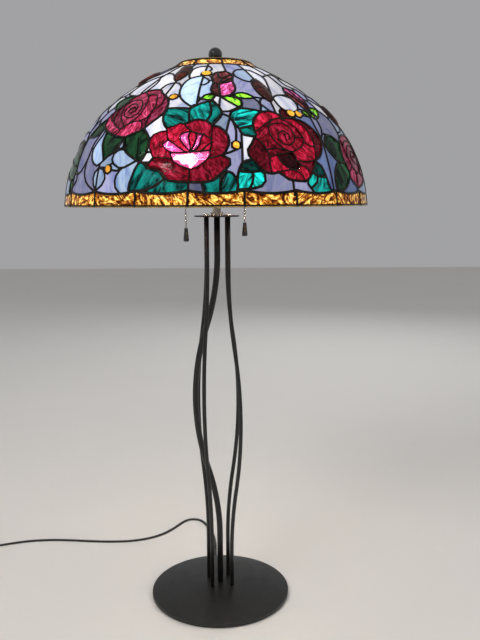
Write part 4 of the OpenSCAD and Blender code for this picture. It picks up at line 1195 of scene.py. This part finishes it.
def glass_materials():
    """The kinds of glass. Each stop is a place in the streaks and what it multiplies the tint by."""
    return {
        "opal": lit_glass(
            "opal_streaky_glass",
            [(0.32, (0.5, 0.57, 0.78)), (0.44, (0.8, 0.83, 0.93)), (0.54, (1.08, 1.06, 1.03)),
             (0.66, (0.8, 0.86, 1.02))],
            along=0.3, scale=62, strength=0.88, clear=0, roughness=0.16, ripple=0.25, swirl=1.0, body=0.3),
        "ruby_glass": lit_glass(
            "ruby_rippled_glass",
            [(0.36, (0.12, 0.1, 0.1)), (0.46, (0.62, 0.5, 0.5)), (0.54, (1.15, 1.1, 1.1)),
             (0.64, (2.1, 4.5, 3.6))],
            along=0.45, scale=120, strength=0.95, clear=0.08, roughness=0.14, ripple=0.6, swirl=2.0,
            body=0.25),
        "ruby_clear": lit_glass(
            "ruby_clear_glass",
            [(0.32, (0.5, 0.4, 0.4)), (0.45, (0.85, 0.8, 0.8)), (0.55, (1.1, 1.2, 1.2)),
             (0.66, (1.5, 2.5, 2.0))],
            along=0.4, scale=95, strength=0.95, clear=0.7, roughness=0.22, ripple=0.3, swirl=1.4, body=0.9),
        "leaf_glass": lit_glass(
            "leaf_mottled_glass",
            [(0.39, (0.03, 0.03, 0.04)), (0.45, (0.42, 0.36, 0.36)), (0.52, (1.1, 1.05, 1.05)),
             (0.63, (2.1, 1.9, 1.8))],
            along=0.35, scale=68, strength=0.95, clear=0.06, roughness=0.16, ripple=0.4, swirl=1.5,
            body=0.25),
        "amber_hammered": lit_glass(
            "amber_hammered_glass",
            [(0.4, (0.05, 0.015, 0.0)), (0.47, (0.4, 0.2, 0.04)), (0.53, (1.1, 1.0, 0.6)),
             (0.6, (2.3, 3.8, 8.0))],
            along=0.55, scale=72, strength=0.9, clear=0.2, roughness=0.1, ripple=0.8, swirl=3.5, body=1.0),
        "amber_clear": lit_glass(
            "amber_cabochon_glass",
            [(0.3, (0.6, 0.35, 0.1)), (0.5, (1.0, 0.9, 0.7)), (0.7, (1.0, 1.3, 1.6))],
            along=1.0, scale=160, strength=1.0, clear=0.3, roughness=0.06, ripple=0.3, swirl=0.6, body=0.5),
        "jewel_dark": lit_glass(
            "dark_jewel_glass",
            [(0.35, (0.3, 0.3, 0.35)), (0.5, (0.8, 0.7, 0.6)), (0.62, (3.0, 1.6, 1.0))],
            along=0.3, scale=60, strength=0.5, clear=0, roughness=0.07, ripple=0.2, swirl=0.6, body=0.5),
    }


def fitting_materials():
    """Everything but the glass of the shade."""
    return {
        "lead": metal("black_patina_solder", (0.035, 0.026, 0.02), 0.32, 420.0, 0.35, 0.75, 0.2),
        "black_steel": enamel("black_powder_coat", (0.007, 0.0065, 0.006), 0.38, 900.0, 0.25, 0.05, 1.7),
        "cast_iron": enamel("cast_iron_weight", (0.05, 0.045, 0.04), 0.7, 300.0, 0.6),
        "nickel": metal("brushed_nickel", (0.56, 0.54, 0.5), 0.24, 500.0),
        "brass": metal("aged_brass", (0.55, 0.4, 0.18), 0.3, 400.0),
        "porcelain": enamel("porcelain_liner", (0.8, 0.78, 0.72), 0.25, 200.0, 0.05, 0.3, 1.1),
        "black_gloss": enamel("black_gloss_lacquer", (0.008, 0.008, 0.009), 0.12, 120.0, 0.04, 1.0, 1.4),
        "bulb_glass": bulb("warm_bulb_glass"),
        "cord_vinyl": enamel("black_cord_vinyl", (0.014, 0.013, 0.012), 0.42, 600.0, 0.2, 0.0, 1.8),
        "plug_plastic": enamel("black_plug_plastic", (0.015, 0.014, 0.014), 0.4, 700.0, 0.25, 0.0, 1.6),
        "felt": felt("black_felt"),
    }


# ------------------------------------------------------------------ stem

THIN_ROD_R, TUBE_R = 6.35 / 2, 9.5 / 2
# Node, the direction of its foot from the axis, the way it bows, its peak's height
THIN_RODS = [("rod_back_left", 147.3, 140, 326), ("rod_front_left", 237.3, 247, 330),
             ("rod_back_right", 57.3, 29, 320), ("rod_front_right", -32.7, -33, 298)]
FOOT_R, STEM_TWIST = 23.2, 7.5
THIN_BOW, THIN_HALF = 20, 230
TUBE_BOW, TUBE_PEAK, TUBE_HALF = 37, 333, 232
ROD_LOW, ROD_HIGH = 2.1, 622
BOW_STEPS, ROD_SIDES = 10, 28


def bow_line(bow, peak, half, low, high):
    """A rod's middle line in its own plane: straight, an even bow out and back, straight."""
    lean = 2 * math.atan(bow / half)
    radius = half / (2 * math.sin(lean))
    slopes = [lean * k / BOW_STEPS for k in range(BOW_STEPS + 1)]
    rise = [(radius * (1 - math.cos(a)), radius * math.sin(a)) for a in slopes]
    up = rise + [(bow - x, half - z) for x, z in reversed(rise[:-1])]
    line_up = [(0, low)] + [(x, peak - half + z) for x, z in up]
    return line_up + [(x, peak + half - z) for x, z in reversed(up[:-1])] + [(0, high)]


def spot(radius, direction):
    """A place on the table plane, in millimetres and degrees."""
    a = math.radians(direction)
    return Vector((radius * math.cos(a), radius * math.sin(a), 0))


def build_rod(name, foot, head, way, radius, bow, peak, half, material):
    """A bent bar from its foot to its head, which drifts across over the bowed stretch."""
    out = spot(1, way)
    across = spot(1, way + 90)
    centres = []
    for r, z in bow_line(bow, peak, half, ROD_LOW, ROD_HIGH):
        done = min(1, max(0, (z - peak + half) / (2 * half)))
        centres.append((foot + (head - foot) * done + out * r + Vector((0, 0, z))) * MM)
    sides = [across.cross(t).normalized() for t in directions(centres)]
    shell = Shell()
    verts, faces = sweep(centres, sides, [across] * len(centres), ring_section(radius, ROD_SIDES))
    shell.add(verts, [tuple(reversed(f)) for f in faces])
    shell.piece(name, material, "stem", "black_steel", (name,))


def build_stem(materials):
    """The four thin rods and the thicker tube between them."""
    black = materials["black_steel"]
    for name, place, way, peak in THIN_RODS:
        build_rod(name, spot(FOOT_R, place), spot(FOOT_R, place - STEM_TWIST), way, THIN_ROD_R,
                  THIN_BOW, peak, THIN_HALF, black)
    build_rod("centre_tube", Vector(), Vector(), 180, TUBE_R, TUBE_BOW, TUBE_PEAK, TUBE_HALF, black)


# ------------------------------------------------------------------ cord
# The cord's points as it lies from the base to its coil, in millimetres

CORD_ROUTE = [
    (-14, 145, 3.9), (-14, 157, 3.5), (-15, 171, 2.4), (-17, 189, 1.7), (-21, 210, 1.6), (-27, 231, 1.6),
    (-34, 250, 1.6), (-42, 266, 1.6), (-53, 277, 1.6), (-67, 279, 1.6), (-79, 271, 1.6), (-89, 255, 1.6),
    (-101, 234, 1.6), (-120, 210, 1.6), (-147, 192, 1.6), (-180, 182, 1.6), (-216, 180, 1.6),
    (-252, 182, 1.6), (-290, 186, 1.6), (-330, 188, 1.6), (-370, 184, 1.6), (-407, 173, 1.6),
    (-440, 160, 1.6), (-468, 153, 1.6),
]
CORD_W, CORD_T = 5.4, 2.9
GROOVE = 0.35                        # the depth of the groove between the cord's two cores
COIL_X, COIL_Y = -482, 184
COIL_START = -65.6                   # degrees, where the route meets the coil
COIL_OUT, COIL_IN = 33.8, 28.4       # radii of the coil's two rings
# Turns from the start, and the radius and height reached there; the cord runs evenly between them
COIL_STEPS = [
    (0, COIL_OUT, 1.6), (0.72, COIL_OUT, 1.6), (0.95, COIL_IN, 1.6), (1.95, COIL_IN, 1.6),
    (2.15, COIL_IN, 4.5), (2.95, COIL_IN, 4.5), (3.15, COIL_OUT, 4.5), (3.95, COIL_OUT, 4.5),
    (4.2, COIL_IN, 7.4), (5.1, COIL_IN, 7.4), (5.3, COIL_OUT, 7.4), (6.318, COIL_OUT, 7.4),
]
COIL_POINTS = 36                     # points to a turn
CORD_END = (-516, 196.5, 7)


def coil_point(turns):
    """A point of the cord that many turns into the coil."""
    for (t0, r0, z0), (t1, r1, z1) in zip(COIL_STEPS, COIL_STEPS[1:]):
        if turns <= t1:
            t = (turns - t0) / (t1 - t0)
            t = t * t * (3 - 2 * t)
            radius, z = r0 + (r1 - r0) * t, z0 + (z1 - z0) * t
            break
    a = math.radians(COIL_START) - 2 * math.pi * turns
    return COIL_X + radius * math.cos(a), COIL_Y + radius * math.sin(a), z


def cord_line():
    """The middle of the cord: over the table, round its coil, and into the plug, in millimetres."""
    points = smooth_line(CORD_ROUTE, 6.0)
    turns = COIL_STEPS[-1][0]
    count = round(turns * COIL_POINTS)
    points += [coil_point(turns * k / count) for k in range(1, count + 1)]
    last = Vector(points[-1])
    return points + [tuple(last + (Vector(CORD_END) - last) * t) for t in (0.5, 1.0)]


def cord_section():
    """Two round cores side by side, with a shallow groove between them above and below."""
    half, thick = CORD_W / 2, CORD_T / 2
    section = []
    for cx, start in ((half - thick, -90), (thick - half, 90)):
        for k in range(7):
            a = math.radians(start + 30 * k)
            section.append((cx + thick * math.cos(a), thick * math.sin(a)))
    return [(a, b - (GROOVE if abs(a) < 0.3 else 0)) for a, b in reversed(section)]


def build_cord(materials):
    """The flat cord: its run over the table, its spare length in a coil, and into the plug."""
    centres = [Vector(p) * MM for p in cord_line()]
    sides, ups = upright_frames(centres)
    shell = Shell()
    shell.add(*sweep(centres, sides, ups, cord_section()))
    piece = shell.piece("flat_cord", materials["cord_vinyl"], "stem", "cord_vinyl", ("cord", "cord_coil"))


# ------------------------------------------------------------------ the parts kept from the CAD

SHARP = math.radians(32)   # edges sharper than this are shaded as edges


def finish_cad_parts(materials):
    """Gives each node of the frame the material of its slot. The slots of the shade's glass have none."""
    for name, obj in NODES.items():
        material = materials.get(SLOTS.get(name))
        if material is None:
            continue
        obj.data.materials.clear()
        obj.data.materials.append(material)
        obj.data.set_sharp_from_angle(angle=SHARP)


# ------------------------------------------------------------------ camera and light

CAMERA_AT = (0.0349, -1.157, 0.647)
CAMERA_TILT, CAMERA_ROLL = 80.82, -0.29   # degrees up from straight down, and round the view's middle
CAMERA_LENS = 41.7
WORLD_COLOUR, WORLD_STRENGTH = (0.9, 0.9, 0.92, 1), 0.4
FLOOR_REACH = 6


def make_camera():
    """The photograph's viewpoint: just below the shade's rim, tilted down a little."""
    data = bpy.data.cameras.new("camera")
    data.lens = CAMERA_LENS
    data.sensor_fit = "AUTO"
    data.sensor_width = 36
    camera = bpy.data.objects.new("camera", data)
    bpy.context.scene.collection.objects.link(camera)
    camera.location = CAMERA_AT
    tilt = Euler((math.radians(CAMERA_TILT), 0, 0)).to_matrix()
    roll = Euler((0, 0, math.radians(CAMERA_ROLL))).to_matrix()
    camera.rotation_euler = (tilt @ roll).to_euler()
    bpy.context.scene.camera = camera


def area_light(name, place, target, size, power, colour, mirrored=False):
    """A round soft light. Only a mirrored one shows as a highlight on glass and metal."""
    data = bpy.data.lights.new(name, "AREA")
    data.shape = "DISK"
    data.size = size
    data.energy = power
    data.color = colour
    light = bpy.data.objects.new(name, data)
    bpy.context.scene.collection.objects.link(light)
    light.location = place
    light.rotation_euler = (Vector(target) - Vector(place)).to_track_quat("-Z", "Y").to_euler()
    light.visible_glossy = mirrored


def make_studio():
    """Soft light from three sides, one small light for highlights, and the floor."""
    scene = bpy.context.scene
    scene.view_settings.view_transform = "Standard"
    world = bpy.data.worlds.new("studio")
    world.use_nodes = True
    sky = world.node_tree.nodes["Background"]
    sky.inputs["Color"].default_value = WORLD_COLOUR
    sky.inputs["Strength"].default_value = WORLD_STRENGTH
    scene.world = world
    area_light("key", (-1.6, -1.9, 2.3), (0, 0, 0.45), 1.6, 34, (1.0, 0.98, 0.96))
    area_light("fill", (2.2, -1.2, 1.3), (0, 0, 0.4), 1.8, 14, (0.96, 0.97, 1.0))
    area_light("back", (0.6, 2.4, 1.8), (0, 0, 0.5), 1.6, 16, (1, 1, 1))
    area_light("glint", (-1.3, -1.6, 2.1), (0, 0, 0.7), 0.3, 5, (1, 1, 1), True)
    make_floor()


def make_floor():
    mesh = bpy.data.meshes.new("floor")
    corners = [(x * FLOOR_REACH, y * FLOOR_REACH, 0) for x, y in ((-1, -1), (1, -1), (1, 1), (-1, 1))]
    mesh.from_pydata(corners, [], [(0, 1, 2, 3)])
    floor = bpy.data.objects.new("floor", mesh)
    bpy.context.scene.collection.objects.link(floor)
    pale = Nodes("pale_floor")
    grain = pale.noise(pale.object, 3.0)
    pale.link(pale.mix((0.74, 0.72, 0.69), (0.78, 0.76, 0.73), grain), pale.shader.inputs["Base Color"])
    pale.set(Roughness=0.7)
    mesh.materials.append(pale.material)


make_camera()
MATERIALS = {**glass_materials(), **fitting_materials()}
build_cord(MATERIALS)
build_stem(MATERIALS)
PATTERN = draw_pattern()
build_glass(PATTERN, MATERIALS)
build_seams(PATTERN, MATERIALS)
finish_cad_parts(MATERIALS)
make_studio()
